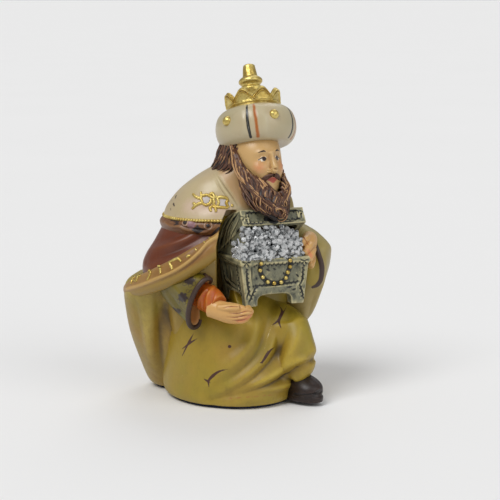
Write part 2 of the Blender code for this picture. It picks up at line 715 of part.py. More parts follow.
def chest_object(collection):
    chest = mesh_object("chest", chest_body_form(), collection)
    foot = CHEST_WIDTH * CHEST_TAPER / 2
    front_arch = arch_form(foot - LEG_WIDTH, LEG_HEIGHT, True, CHEST_DEPTH)
    cut(chest, mesh_object("front arch", front_arch, collection))
    side_arch = arch_form(CHEST_DEPTH / 2 - LEG_WIDTH, LEG_HEIGHT, False, CHEST_WIDTH)
    cut(chest, mesh_object("side arch", side_arch, collection))
    panel_height = CHEST_HEIGHT - RIM_HEIGHT - LEG_HEIGHT - 0.0022
    middle = LEG_HEIGHT + 0.0012 + panel_height / 2
    panel_size = (CHEST_WIDTH - 2 * PANEL_MARGIN, 2 * PANEL_DEPTH, panel_height)
    front_panel = box_form(panel_size, (0, -CHEST_DEPTH / 2, middle))
    cut(chest, mesh_object("front panel", front_panel, collection))
    beads = []
    for x, z in necklace_places():
        form = bmesh.new()
        matrix = Matrix.Translation((x, BEAD_SUNK - CHEST_DEPTH / 2, z))
        bmesh.ops.create_uvsphere(form, u_segments=8, v_segments=5, radius=BEAD_RADIUS, matrix=matrix)
        beads.append(mesh_object("bead", form, collection))
    union_all(chest, beads)
    return on_chest(chest)


def chips_object(collection):
    """The heap of chips: a packed core with whole chips standing out of its open front, inside its room."""
    half = CHEST_WIDTH / 2 - CHEST_WALL
    front = CHEST_WALL - CHEST_DEPTH / 2 + CHIP_RADIUS * 0.8
    rise = math.tan(LID_OPENING) * CHEST_DEPTH
    core = mesh_object("crystal_chips", room_form(FIT_GAP + CHIP_COVER, 2 * FIT_GAP), collection)
    shuffle = np.random.default_rng(7)
    chips = []
    for row in range(CHIP_ROWS):
        for column in range(CHIP_COLUMNS):
            share = (column + 0.5 * (row % 2)) / (CHIP_COLUMNS - 0.5)
            x = half * (-0.9 + 1.8 * share) + shuffle.uniform(-0.0003, 0.0003)
            y = front + shuffle.uniform(-0.0003, 0.0006)
            height = rise * (0.05 + 0.76 * row / (CHIP_ROWS - 1))
            z = CHEST_HEIGHT + height + shuffle.uniform(-0.0003, 0.0003)
            spin = Matrix.Rotation(shuffle.uniform(0, math.pi), 4, "Z")
            turn = spin @ Matrix.Rotation(shuffle.uniform(0, 1), 4, "X")
            form = bmesh.new()
            bmesh.ops.create_icosphere(
                form, subdivisions=1, radius=CHIP_RADIUS, matrix=Matrix.Translation((x, y, z)) @ turn
            )
            chips.append(mesh_object("chip", form, collection))
    union_all(core, chips)
    room = mesh_object("chips room", room_form(FIT_GAP, FIT_GAP), collection)
    boolean(core, room, "INTERSECT")
    bpy.data.objects.remove(room, do_unlink=True)
    return tidy(on_chest(core))


def pad_object(collection):
    """The pad follows the footprint of the robe and the mantle, set in from their edge."""
    inset = PAD_INSET / STEP
    plates = []
    for rows in (SKIRT, SIDE_FALL, BACK_FALL):
        x, y, _, across, along, turn = rows[0]
        flat = [(x, y, z, across - inset, along - inset, turn) for z in (0.0, PAD_THICKNESS / STEP)]
        plates.append(mesh_object("felt_pad", level_form(flat, 24, 1), collection))
    pad = plates[0]
    union_all(pad, plates[1:])
    return tidy(pad)


def figure_forms():
    """Every soft mass of the figure, before they are cast as one."""
    masses = (SKIRT, TORSO, CAPELET, BORDER, SHOULDER_CLOTH, SIDE_FALL, BACK_FALL)
    forms = [level_form(rows) for rows in masses]
    forms += [level_form(rows, 32) for rows in (FAR_SLEEVE, HAIR_BACK, SKULL, BEARD)]
    forms += [limb_form(rows) for rows in (RAISED_THIGH, RAISED_SHIN, NECK, FAR_COLLAR, FAR_ARM)]
    forms += [limb_form(rows) for rows in (NEAR_SLEEVE, INNER_SLEEVE)]
    forms += [limb_form(rows) for rows in (NEAR_PALM, FAR_PALM, MANTLE_ROLL, SHOE)]
    forms += [finger_form(joints) for joints in NEAR_FINGERS + FAR_FINGERS]
    for rows in (NOSE, LIPS):
        forms.append(limb_form([(*head_place(*row[:3]), *row[3:]) for row in rows], 12, 3))
    for k in range(LOCK_COUNT):
        share = k / (LOCK_COUNT - 1) * 2 - 1
        top = 73.0 - 4.6 * math.cos(share * 1.5)
        forms.append(lock_form(BEARD, share * 1.5, share * 0.9, top, 60.8, 0.16, 1.4))
    for k in range(HAIR_LOCK_COUNT):
        angle = math.radians(-78 - 25 * k)
        forms.append(lock_form(HAIR_BACK, angle, angle - 0.35, 80.5, 71.6, 0.16, 1.35))
    return forms


def main():
    remove_startup_objects()
    parts = new_collection("wise_man_figurine")
    casting = joined("casting", figure_forms(), parts)
    remesh(casting, VOXEL)
    cut(casting, side_room_object(parts))
    sockets = []
    for side in (-1, 1):
        middle = head_place(side * EYE_SIDE, *EYE_PLACE)
        inner = head_place(side * (EYE_SIDE - 1.2), *EYE_PLACE)
        outer = head_place(side * (EYE_SIDE + 1.2), EYE_PLACE[0] - 0.6, EYE_PLACE[1])
        sockets.append((1.1, -0.9, [inner, middle, outer]))
    carve(casting, FOLDS + sockets)
    remesh(casting, VOXEL)
    soften(casting, 3)
    thin_out(casting, CASTING_TRIANGLES)
    turban = place_on_hat(turned_object("turban", TURBAN_PROFILE, parts, TURBAN_STEPS))
    hat = [turban, place_on_hat(crown_object(parts))] + [place_on_hat(stud) for stud in stud_forms(parts)]
    union_all(casting, hat + [chest_object(parts), lid_object(parts)])
    cut(casting, on_chest(mesh_object("chips room", room_form(0.0, -ROOM_OVERCUT), parts)))
    below = box_form((1.0, 1.0, 0.1), (0, 0, CASTING_FLOOR - 0.05))
    tidy(cut(casting, mesh_object("below the base", below, parts)))
    casting.data.materials.append(material("painted_resin", (0.36, 0.27, 0.10), 0.45))
    chips = chips_object(parts)
    chips.data.materials.append(material("clear_chip", (0.9, 0.92, 0.95), 0.05, 0.0, 0.35))
    pad = pad_object(parts)
    pad.data.materials.append(material("felt", (0.02, 0.025, 0.05), 0.95))


if __name__ == "__main__":
    main()
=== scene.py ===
"""A kneeling wise man with an open treasure chest: a hand-painted resin figurine, on a plain studio floor."""

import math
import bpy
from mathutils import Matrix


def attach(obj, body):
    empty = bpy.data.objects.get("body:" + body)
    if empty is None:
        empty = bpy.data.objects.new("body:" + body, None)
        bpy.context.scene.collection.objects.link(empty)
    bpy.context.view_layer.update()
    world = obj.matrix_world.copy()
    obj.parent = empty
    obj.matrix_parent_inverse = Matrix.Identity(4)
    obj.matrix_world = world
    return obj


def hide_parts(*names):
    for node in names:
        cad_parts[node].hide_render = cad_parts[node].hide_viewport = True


bl_info = {
    "name": "Nativity wise man figurine",
    "version": (1, 0, 0),
    "blender": (4, 5, 0),
    "location": "3D View > Sidebar > Wise Man",
    "description": "Models and paints the kneeling wise man and his chest",
    "category": "Object",
}

import bpy
import numpy as np
from bpy.props import FloatProperty, FloatVectorProperty, PointerProperty
from mathutils import Vector
from mathutils.bvhtree import BVHTree

MM = 0.001

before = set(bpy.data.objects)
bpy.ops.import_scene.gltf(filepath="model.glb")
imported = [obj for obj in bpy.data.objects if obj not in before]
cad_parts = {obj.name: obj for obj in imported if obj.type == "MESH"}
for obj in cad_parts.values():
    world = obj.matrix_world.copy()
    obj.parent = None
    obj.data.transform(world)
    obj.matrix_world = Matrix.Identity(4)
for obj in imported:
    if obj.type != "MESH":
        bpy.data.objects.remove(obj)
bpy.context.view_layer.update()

# Grains of first skins and of skins that nobody changes, in metres
FIRST_SKIN = 0.0006
CHEST_FIRST_SKIN = 0.00035
HAIR_CORE_SKIN = 0.0005
BED_SKIN = 0.0005
PAD_SKIN = 0.0002

# The drawing sheet stands upright through the middle of the figure, seen from the eye. Flat routes give steps
# to the right of and down from its upper left corner. Lengths here and in all tables are in millimetres.
SHEET_STEP = 0.325
SHEET_MIDDLE = 250.0
EYE_DISTANCE = 520.0
EYE_RISE = math.radians(9)
TARGET = np.array([8.8, 0.0, 47.6])
BACK = np.array([0.0, -math.cos(EYE_RISE), math.sin(EYE_RISE)])
RIGHT = np.array([1.0, 0.0, 0.0])
UP = np.array([0.0, math.sin(EYE_RISE), math.cos(EYE_RISE)])
EYE = TARGET + BACK * EYE_DISTANCE

# Level sections: x, y, z, half width across the body, half depth, turn in degrees
SKIRT = [
    (2.0, -1.0, 0.85, 19.6, 22.6, 36),
    (2.0, -1.0, 2.2, 20.4, 23.5, 36),
    (2.0, -1.0, 5.0, 20.8, 23.9, 36),
    (2.0, -1.0, 12.0, 20.3, 23.4, 36),
    (1.5, -1.0, 20.0, 19.4, 22.4, 36),
    (1.2, -0.5, 28.0, 18.4, 20.5, 36),
    (0.5, 1.0, 36.0, 16.5, 15.5, 36),
    (0.0, 2.0, 44.0, 14.5, 12.0, 36),
]
TORSO = [
    (0.0, 3.0, 34.0, 14.5, 12.0, 36),
    (1.0, 2.5, 46.0, 15.5, 11.5, 36),
    (2.5, 1.5, 56.0, 17.0, 11.5, 36),
    (3.5, 0.5, 64.0, 17.0, 11.0, 36),
    (5.0, -1.0, 70.0, 12.0, 9.0, 36),
    (6.5, -3.0, 75.0, 7.5, 7.0, 36),
]
CAPELET = [
    (1.4, 1.0, 59.3, 20.6, 17.1, 36),
    (1.4, 1.0, 59.8, 21.5, 18.0, 36),
    (1.4, 1.0, 60.6, 21.4, 17.9, 36),
    (1.5, 0.8, 63.0, 20.4, 17.0, 36),
    (2.2, 0.2, 66.5, 18.4, 15.2, 36),
    (3.4, -0.6, 70.0, 15.8, 12.9, 36),
    (4.8, -1.6, 73.2, 12.4, 10.6, 36),
    (6.4, -3.2, 76.0, 8.6, 8.4, 36),
]
BORDER = [
    (1.0, 1.6, 54.8, 20.6, 17.2, 36),
    (1.0, 1.6, 55.4, 21.8, 17.9, 36),
    (1.0, 1.5, 57.8, 22.7, 18.4, 36),
    (1.2, 1.3, 59.4, 21.6, 17.7, 36),
    (1.3, 1.2, 60.4, 19.8, 16.6, 36),
]
SHOULDER_CLOTH = [
    (-1.2, 1.4, 36.0, 21.0, 15.0, 36),
    (-2.0, 1.2, 40.0, 25.2, 18.0, 36),
    (-2.0, 1.1, 43.5, 26.0, 19.0, 36),
    (-1.9, 1.1, 47.0, 24.9, 18.6, 36),
    (-1.0, 1.2, 51.5, 22.6, 17.6, 36),
    (0.4, 1.4, 57.5, 20.4, 16.4, 36),
]
SIDE_FALL = [
    (-15.4, 12.4, 0.85, 8.6, 8.4, 36),
    (-15.8, 11.6, 3.0, 9.8, 9.6, 36),
    (-17.0, 8.8, 9.0, 10.6, 10.6, 36),
    (-19.4, 3.6, 20.0, 11.3, 11.0, 36),
    (-20.9, -1.2, 30.0, 11.1, 10.6, 36),
    (-21.5, -3.8, 35.6, 10.6, 10.0, 36),
    (-20.8, -2.6, 38.6, 10.2, 9.6, 36),
    (-18.6, -1.4, 41.0, 8.4, 8.6, 36),
]
BACK_FALL = [
    (2.4, 6.6, 0.85, 19.6, 15.0, 12),
    (2.2, 6.4, 4.0, 21.0, 16.2, 12),
    (0.8, 4.8, 18.0, 24.6, 17.2, 14),
    (0.2, 3.4, 34.0, 26.4, 17.6, 18),
    (0.0, 2.4, 44.0, 25.6, 17.0, 26),
    (0.6, 1.6, 54.0, 20.6, 15.6, 34),
]
FAR_SLEEVE = [
    (23.2, -1.0, 23.6, 2.6, 4.0, 36),
    (23.9, -1.2, 27.0, 4.2, 6.2, 36),
    (24.9, -0.8, 32.0, 5.2, 7.6, 36),
    (26.0, -0.2, 38.0, 6.0, 8.2, 36),
    (27.2, 0.6, 44.0, 6.6, 8.4, 36),
    (27.5, 1.2, 49.0, 6.8, 8.0, 36),
    (25.6, 2.4, 53.0, 5.2, 6.2, 36),
    (23.4, 3.4, 55.6, 3.2, 4.2, 36),
]
HAIR_BACK = [
    (3.4, -4.2, 69.8, 5.2, 5.0, 50),
    (4.2, -4.2, 73.0, 7.0, 6.6, 50),
    (5.6, -4.2, 77.0, 7.5, 7.4, 50),
    (7.2, -4.0, 82.0, 7.4, 7.7, 50),
    (8.8, -3.8, 86.0, 7.0, 7.2, 50),
]
SKULL = [
    (13.2, -10.4, 67.0, 4.2, 4.4, 40),
    (12.6, -9.8, 69.6, 5.9, 6.2, 40),
    (11.6, -8.6, 73.6, 7.0, 7.8, 40),
    (10.8, -7.6, 78.0, 7.6, 8.6, 40),
    (10.2, -6.6, 82.0, 7.5, 8.6, 40),
    (9.6, -5.4, 86.0, 6.4, 7.6, 40),
]
BEARD = [
    (17.4, -18.8, 59.4, 1.2, 1.2, 40),
    (16.6, -18.0, 60.8, 3.0, 2.6, 40),
    (14.6, -16.0, 62.8, 5.4, 4.4, 40),
    (13.6, -14.0, 65.6, 7.0, 5.6, 40),
    (13.4, -12.2, 68.6, 7.8, 6.2, 40),
    (12.0, -10.6, 72.0, 7.7, 6.8, 40),
    (11.2, -9.4, 75.0, 7.6, 6.6, 40),
]
BEARD_CORE = [
    (17.2, -18.6, 59.8, 1.0, 1.0, 40),
    (16.4, -17.8, 61.0, 2.5, 2.2, 40),
    (14.5, -15.8, 62.8, 4.8, 3.8, 40),
    (13.6, -13.8, 65.6, 6.4, 4.9, 40),
    (13.0, -11.4, 68.6, 7.2, 4.8, 40),
    (12.0, -9.0, 72.0, 7.3, 4.6, 40),
    (11.0, -8.0, 77.0, 7.3, 4.5, 40),
    (10.2, -6.6, 83.0, 6.9, 4.2, 40),
]
BEARD_SKIN = BEARD[:-1] + [
    (11.0, -9.0, 76.0, 7.8, 7.4, 40),
    (10.6, -7.6, 79.5, 7.9, 8.2, 40),
    (10.2, -6.8, 83.0, 7.7, 8.2, 40),
    (9.8, -6.0, 86.0, 7.2, 7.8, 40),
]
# Where the beard starts round the face: share of the way round to the ear, and height
BEARD_EDGE = [
    (0.0, 68.2), (0.1, 68.8), (0.18, 70.8), (0.28, 72.2), (0.4, 73.2), (0.55, 74.8), (0.7, 77.4),
    (0.85, 81.2), (1.0, 85.0)
]

# Sections across a limb's own path: x, y, z, half width, half height
RAISED_THIGH = [
    (2.0, 4.0, 28.0, 10.0, 8.0),
    (10.0, -2.0, 25.5, 9.6, 7.6),
    (18.0, -7.5, 24.2, 8.6, 7.4),
    (23.5, -11.5, 22.5, 5.6, 6.0),
]
RAISED_SHIN = [
    (20.6, -9.8, 25, 7.2, 6.6),
    (22.2, -11.5, 20, 6.9, 7.0),
    (23.0, -12.0, 14, 7.0, 7.2),
    (20.5, -12.0, 9.5, 5.0, 5.5),
]
NECK = [(4, 0, 68, 8, 8), (8, -4, 75, 6.8, 7), (10, -6, 79, 6.4, 7)]
FAR_COLLAR = [(13, 1, 71, 3, 3), (18.6, -1.6, 66, 2.8, 3), (20.8, -4.6, 60.6, 2.2, 2.6),
    (20.4, -6.4, 57, 1.6, 2)]
FAR_ARM = [(12, 8, 56, 7, 7), (19, 6, 51.5, 7, 7), (25.5, 3, 47.5, 6.4, 6.4), (27.8, -2.5, 49, 4.2, 4.6)]
NEAR_SLEEVE = [
    (-17.5, -11.5, 41.0, 5.0, 5.0),
    (-13.5, -16.0, 38.6, 5.8, 6.8),
    (-9.8, -20.0, 36.6, 5.4, 8.0),
    (-6.4, -23.8, 34.6, 4.6, 8.8),
]
INNER_SLEEVE = [(-7.6, -19.4, 37.0, 3.4, 4.4), (-3.6, -24.6, 35.9, 3.5, 4.5), (-1.0, -27.6, 34.3, 3.1, 3.8)]
NEAR_PALM = [
    (-3.6, -26.8, 33.8, 2.6, 3.0),
    (-0.6, -28.2, 33.2, 2.8, 3.1),
    (2.6, -28.6, 32.3, 2.8, 3.2),
    (5.4, -28.0, 31.6, 2.4, 2.7),
    (7.2, -27.0, 31.8, 1.8, 2.0),
]
FAR_PALM = [(28.0, -3.0, 51.6, 2.6, 2.8), (27.6, -6.6, 50.8, 2.6, 3.4), (26.6, -9.4, 49.8, 2.2, 3.0)]
MANTLE_ROLL = [
    (5.4, -18.6, 57.6, 1.3, 2.4),
    (1.2, -21.2, 55.2, 1.8, 2.8),
    (-4.0, -23.4, 51.1, 2.3, 3.6),
    (-11.5, -22.8, 46.0, 2.7, 3.9),
    (-20.0, -18.0, 41.2, 2.8, 3.7),
    (-27.0, -10.4, 37.3, 2.6, 3.2),
    (-29.6, -3.6, 35.4, 2.6, 2.6),
    (-26.6, 4.4, 36.6, 2.6, 2.6),
    (-19.6, 12.2, 39.6, 2.6, 2.6),
    (-8.0, 18.6, 42.6, 2.4, 2.6),
    (8.0, 19.2, 44.6, 2.2, 2.6),
    (20.0, 12.6, 46.4, 1.9, 2.4),
    (27.0, 5.0, 48.6, 1.2, 2.0),
]
SHOE = [
    (20.0, -6.0, 5.0, 4.2, 3.8),
    (23.6, -9.2, 5.4, 4.9, 4.2),
    (26.6, -13.4, 5.2, 5.0, 4.0),
    (28.8, -16.0, 4.5, 4.4, 3.3),
    (30.2, -17.4, 3.7, 2.6, 2.4),
]

# Each finger: its joints from knuckle to tip
NEAR_FINGERS = [
    [(3.6, -28.6, 34.2), (6.8, -29.4, 33.8), (8.4, -27.6, 33.6)],
    [(3.8, -29.6, 33.0), (7.4, -29.8, 32.6), (9.0, -27.8, 32.8)],
    [(3.8, -29.6, 31.7), (7.0, -29.6, 31.4), (8.6, -27.6, 31.8)],
    [(3.6, -29.0, 30.5), (6.2, -29.2, 30.3), (7.8, -27.6, 30.8)],
]
FAR_FINGERS = [
    [(27.8, -6.4, 53.0), (26.4, -10.4, 52.6), (24.4, -12.4, 51.0)],
    [(28.6, -7.6, 51.2), (27.6, -11.4, 50.4), (26.0, -13.2, 48.8)],
    [(29.0, -8.2, 49.2), (28.4, -11.6, 48.2), (27.4, -13.2, 46.6)],
    [(28.8, -7.8, 47.0), (28.6, -10.8, 45.8), (28.0, -12.4, 44.4)],
]
FINGER_RADIUS = 1.15

# The room beside the chest: heights, and the share of the chest's side that is hidden at its back
SIDE_ROOM = [(32.0, 0.0), (52.5, 0.0), (57.0, 0.12), (60.0, 0.24), (63.0, 0.42)]
SIDE_ROOM_OVERLAP = 2.4

# Folds pressed and raised over the cloth: half width, height, sharpness and route
ROBE_FOLDS = [
    (2.6, 0.9, 1.8, [(258, 306), (256, 322), (252, 338), (243, 352), (228, 368), (208, 386)]),
    (2.0, -0.5, 1.8, [(247, 322), (245, 335), (237, 347), (226, 356)]),
    (2.0, -0.9, 1.7, [(270, 306), (268, 322), (264, 336), (259, 350), (250, 362), (237, 373), (222, 383),
        (210, 392)]),
    (2.0, 0.8, 1.7, [(279, 306), (276, 330), (270, 348), (259, 364), (242, 379), (222, 393)]),
    (1.7, -1.0, 1.6, [(289, 308), (286, 332), (279, 350), (268, 365), (254, 378), (237, 389), (220, 397),
        (211, 400)]),
    (2.2, 0.9, 1.8, [(299, 315), (298, 335), (291, 352), (279, 367), (262, 380), (240, 391)]),
    (1.5, -1.2, 1.5, [(316, 357), (306, 364), (293, 371), (280, 380), (264, 387), (242, 394), (212, 401)]),
    (1.6, 0.8, 1.7, [(314, 350), (302, 359), (288, 366), (272, 376), (255, 385)]),
    (1.8, 0.8, 1.7, [(309, 372), (297, 381), (282, 387), (262, 392), (238, 399)]),
    (1.4, -0.6, 1.6, [(300, 386), (288, 391), (270, 393), (250, 396), (232, 401)]),
    (2.4, 0.5, 2.0, [(305, 322), (309, 340), (312, 356)]),
]
FALL_FOLDS = [
    (2.4, -2.4, 1.6, [(163, 296), (165, 318), (168, 342), (170, 366), (171, 384)]),
    (1.6, -0.9, 1.6, [(156, 294), (158, 320), (160, 350), (163, 380)]),
    (2.6, 1.0, 2.0, [(147, 318), (148, 340), (152, 366)]),
    (1.4, -0.5, 1.6, [(134, 296), (139, 322), (146, 352)]),
    (2.5, -1.8, 1.5, [(-27, 9, 34), (-24, 14, 20), (-21, 17, 4)]),
    (2.5, 1.4, 1.8, [(-20, 17, 38), (-17, 20, 20), (-15, 20, 3)]),
    (2.2, -2.0, 1.5, [(-11, 21, 38), (-9, 22, 20), (-8, 22, 3)]),
    (3.0, 1.6, 1.8, [(-2, 21, 42), (0, 23, 20), (0, 23, 3)]),
    (2.2, -2.0, 1.5, [(8, 19, 41), (9, 22, 20), (9, 22, 3)]),
    (2.6, 1.4, 1.8, [(16, 15, 41), (17, 18, 20), (16, 18, 3)]),
    (2.2, -1.8, 1.5, [(22, 10, 40), (22, 12, 20), (21, 12, 3)]),
    (1.8, 0.9, 1.8, [(4, 21, 40), (5, 23, 22), (5, 23, 6)]),
]
CLOTH_FOLDS = [
    (1.8, -1.0, 1.6, [(146, 262), (160, 256), (180, 248), (200, 237), (212, 228)]),
    (1.6, 0.7, 1.8, [(150, 250), (164, 247), (184, 240), (204, 230)]),
    (1.5, -0.6, 1.6, [(158, 240), (176, 236), (196, 230)]),
    (2.4, -1.1, 1.6, [(5, 20, 56), (3, 21, 49), (1, 21, 43)]),
    (2.6, 0.9, 1.8, [(-8, 18, 56), (-12, 19, 48), (-16, 16, 43)]),
    (2.2, -0.9, 1.6, [(-18, 10, 56), (-22, 10, 48), (-25, 8, 42)]),
]

# The middle of the head and the way it looks, and the spot inside it that the locks look away from
FACE_MIDDLE = (11.0, -7.8, 78.0)
HEAD_TURN = math.radians(34)
LOCKS_MIDDLE = np.array([9.5, -7.5, 72.0])

# The turban's middle, its lean, and the radius and height of its outline
HAT_CENTRE = np.array([10.7, -3.4, 87.4])
HAT_LEAN = Vector((-0.11, 0.31, 0.94)).normalized()
HAT_TURN = np.array(Vector((0, 0, 1)).rotation_difference(HAT_LEAN).to_matrix())
TURBAN_PROFILE = [
    (0.0, -5.6), (6.0, -5.8), (9.4, -5.9), (10.8, -5.3), (11.9, -4.1), (12.7, -2.2), (12.95, 0.0),
    (12.7, 2.0), (12.0, 3.9), (10.8, 5.2), (9.4, 5.9), (7.5, 6.2), (0.0, 6.2)
]


def tone(red, green, blue):
    """A screen colour from 0 to 255 as the light it stands for."""
    parts = [value / 255 for value in (red, green, blue)]
    light = [((p + 0.055) / 1.055) ** 2.4 if p > 0.04045 else p / 12.92 for p in parts]
    return (*light, 1.0)


# Shader maths

GRAIN_DEPTH = 0.0001
GILT_DEPTH = 0.00012
VARNISH = 0.12
VARNISH_ROUGHNESS = 0.3
LINING_TONE = tone(196, 144, 84)


class Flow:
    """A shader socket on which sums, products and masks can be written as expressions."""

    def __init__(self, tree, socket=None):
        self.tree = tree
        self.socket = socket

    def node(self, kind, inputs=(), output=0, **settings):
        made = self.tree.nodes.new(kind)
        for key, value in settings.items():
            setattr(made, key, value)
        for key, value in dict(inputs).items():
            if isinstance(value, Flow):
                self.tree.links.new(value.socket, made.inputs[key])
            else:
                made.inputs[key].default_value = value
        return Flow(self.tree, made.outputs[output])

    def maths(self, operation, other):
        return self.node("ShaderNodeMath", {0: self, 1: other}, operation=operation)

    def __add__(self, other):
        return self.maths("ADD", other)

    __radd__ = __add__

    def __mul__(self, other):
        return self.maths("MULTIPLY", other)

    __rmul__ = __mul__

    def __sub__(self, other):
        return self.maths("SUBTRACT", other)

    def __rsub__(self, other):
        return (self * -1.0) + other

    def step(self, low, high, below=0.0, above=1.0):
        """Nought below low, one above high and smooth between them."""
        inputs = {0: self, 1: low, 2: high, 3: below, 4: above}
        return self.node("ShaderNodeMapRange", inputs, interpolation_type="SMOOTHSTEP")

    def fades(self, low, high):
        """One below low, nought above high."""
        return self.step(low, high, 1.0, 0.0)

    def mix(self, first, second):
        """This mask lays the second colour over the first."""
        return self.node("ShaderNodeMix", {0: self, 6: first, 7: second}, output=2, data_type="RGBA")

    def noise(self, scale, detail, roughness=0.55):
        inputs = {"Vector": self, "Scale": scale, "Detail": detail, "Roughness": roughness}
        return self.node("ShaderNodeTexNoise", inputs)

    def stretched(self, x, y, z):
        return self.node("ShaderNodeMapping", {0: self, 3: (x, y, z)})

    def mark(self, name):
        return self.node("ShaderNodeAttribute", output=2, attribute_name=name)


def new_material(name):
    """A material, its shader, and the place on the piece that its patterns read."""
    made = bpy.data.materials.new(name)
    made.use_nodes = True
    place = Flow(made.node_tree).node("ShaderNodeTexCoord", output="Object")
    return made, made.node_tree.nodes["Principled BSDF"], place


def link(flow, shader, socket):
    flow.tree.links.new(flow.socket, shader.inputs[socket])


def grained(shader, height, strength, depth=GRAIN_DEPTH):
    """A fine grain of a given depth, which catches the light."""
    inputs = {"Strength": strength, "Distance": depth, "Height": height}
    link(height.node("ShaderNodeBump", inputs), shader, "Normal")


def resin(name, base, light, dark, wash=(38, 26, 14), washed=0.8, rubbed=0.5, coats=(), gloss=0.42,
          grain=0.25, hollow=0.10, reach=0.7, tints=(), mottle=0.0):
    """Painted resin: a base coat that lightens on its crests and darkens in its folds, broad clouds of tint,
    a dark wash in the hollows, and further coats laid over it where a mark on the skin is below nought."""
    made, shader, place = new_material(name)
    cloudy = place.noise(110, 4)
    fine = place.noise(1400, 5, 0.65)
    far = place.mark("far")
    near = place.mark("near")
    colour = tone(*base)
    for index, (tint, scale, amount) in enumerate(tints):
        cloud = place.noise(scale + index, 3)
        colour = (cloud.step(0.42, 0.62) * amount).mix(colour, tone(*tint))
    # Painted shade and painted highlight: the far mark, stirred with cloudy noise, paints broad folds dark
    # and broad crests light, and reach sets how deep a fold takes the full shade. Here light and dark are
    # painted highlight and shade; below they are also the colours of the rubbed crests, specks and mottle.
    body = far * (1.0 / reach) + (cloudy - 0.5) * 0.9
    colour = body.fades(-0.9, -0.05).mix(colour, tone(*light))
    colour = (body.step(0.05, 0.95) * 0.85).mix(colour, tone(*dark))
    speck = place.noise(420, 3, 0.7).step(0.60, 0.72) * 0.16
    colour = speck.mix(colour, tone(*dark))
    if mottle:
        smear = place.stretched(1.0, 1.0, 0.5).noise(700, 5, 0.75)
        colour = (smear.step(0.5, 0.62) * mottle).mix(colour, tone(*dark))
        colour = (smear.fades(0.34, 0.44) * mottle).mix(colour, tone(*light))
    crest = near.fades(-hollow * 1.3, -hollow * 0.25) * fine.step(0.3, 0.6) * rubbed
    colour = crest.mix(colour, tone(*light))
    ditch = (near + (fine - 0.5) * 0.03).step(hollow * 0.3, hollow * 1.6) * washed
    colour = ditch.mix(colour, tone(*wash))
    rough = gloss + (fine - 0.5) * 0.16 + ditch * 0.12
    for mark, coat, edge in coats:
        distance = place.mark(mark) + (fine - 0.5) * edge * 1.6
        mask = distance.fades(-edge, edge)
        colour = mask.mix(colour, tone(*coat))
    link(colour, shader, "Base Color")
    link(rough, shader, "Roughness")
    grained(shader, fine * 0.6 + place.noise(380, 3) * 1.2, grain)
    shader.inputs["Coat Weight"].default_value = VARNISH
    shader.inputs["Coat Roughness"].default_value = VARNISH_ROUGHNESS
    return made


# Shaping

FOLD_REACH = 3
PAINT_REACH = 3.0


def deselect():
    bpy.ops.object.select_all(action="DESELECT")


def make_active(obj):
    deselect()
    obj.select_set(True)
    bpy.context.view_layer.objects.active = obj


def points(obj):
    co = np.empty(len(obj.data.vertices) * 3, np.float32)
    obj.data.vertices.foreach_get("co", co)
    return co.reshape(-1, 3).astype(float) / MM


def normals(obj):
    out = np.empty(len(obj.data.vertices) * 3, np.float32)
    obj.data.vertex_normals.foreach_get("vector", out)
    return out.reshape(-1, 3).astype(float)


def move(obj, places):
    obj.data.vertices.foreach_set("co", (np.asarray(places) * MM).astype(np.float32).ravel())
    obj.data.update()


def set_mark(obj, name, values):
    marks = obj.data.attributes
    mark = marks.get(name) or marks.new(name, "FLOAT", "POINT")
    mark.data.foreach_set("value", np.asarray(values, np.float32))


def smooth_rows(stations, count):
    """Rows read from a smooth curve through the stations."""
    rows = np.array(stations, float)
    if len(rows) == 1:
        return np.repeat(rows, 2, axis=0)
    ends = np.vstack([2 * rows[0] - rows[1], rows, 2 * rows[-1] - rows[-2]])
    along = np.linspace(0, len(rows) - 1, count)
    start = np.minimum(along.astype(int), len(rows) - 2)
    t = (along - start)[:, None]
    a, b, c, d = ends[start], ends[start + 1], ends[start + 2], ends[start + 3]
    return 0.5 * (2 * b + (c - a) * t + (2 * a - 5 * b + 4 * c - d) * t * t + (3 * b - 3 * c + d - a) * t**3)


def level_rings(stations, around, count):
    angles = np.arange(around) * 2 * math.pi / around
    rings = []
    for x, y, z, across, along, turn in smooth_rows(stations, count):
        c, s = math.cos(math.radians(turn)), math.sin(math.radians(turn))
        u, w = np.cos(angles) * across, np.sin(angles) * along
        rings.append(np.column_stack([x + u * c - w * s, y + u * s + w * c, np.full(around, z)]))
    return np.array(rings)


def limb_rings(stations, around, count):
    return limb_rings_of(smooth_rows(stations, count), around)


def limb_rings_of(rows, around):
    rows = np.asarray(rows, float)
    path = rows[:, :3]
    tangents = np.gradient(path, axis=0)
    angles = np.arange(around) * 2 * math.pi / around
    rings = []
    for place, tangent, (wide, high) in zip(path, tangents, rows[:, 3:5]):
        tangent = tangent / np.linalg.norm(tangent)
        side = np.cross(tangent, (0.0, 0.0, 1.0))
        side /= np.linalg.norm(side) + 1e-9
        rise = np.cross(tangent, side)
        rings.append(place + np.outer(np.cos(angles) * wide, side) + np.outer(np.sin(angles) * high, rise))
    return np.array(rings)


def shaped(name, rings, marks=None):
    """A sphere drawn out so that its rings lie on the given rings of points, with its poles closed."""
    count, around = rings.shape[:2]
    deselect()
    bpy.ops.mesh.primitive_uv_sphere_add(segments=around, ring_count=count + 1, radius=MM)
    obj = bpy.context.view_layer.objects.active
    obj.name = name
    ball = points(obj)
    ring = np.rint(np.arccos(np.clip(-ball[:, 2], -1, 1)) / math.pi * (count + 1)).astype(int)
    turn = np.rint(np.arctan2(ball[:, 1], ball[:, 0]) / (2 * math.pi) * around).astype(int) % around
    row = np.clip(ring - 1, 0, count - 1)
    places = rings[row, turn]
    places[ring == 0] = rings[0].mean(axis=0)
    places[ring == count + 1] = rings[-1].mean(axis=0)
    move(obj, places)
    for key, values in (marks or {}).items():
        set_mark(obj, key, values[row, turn])
    return obj


def level_form(stations, around=64, count=40):
    return shaped("form", level_rings(stations, around, count))


def limb_form(stations, around=32, count=24):
    return shaped("form", limb_rings(stations, around, count))


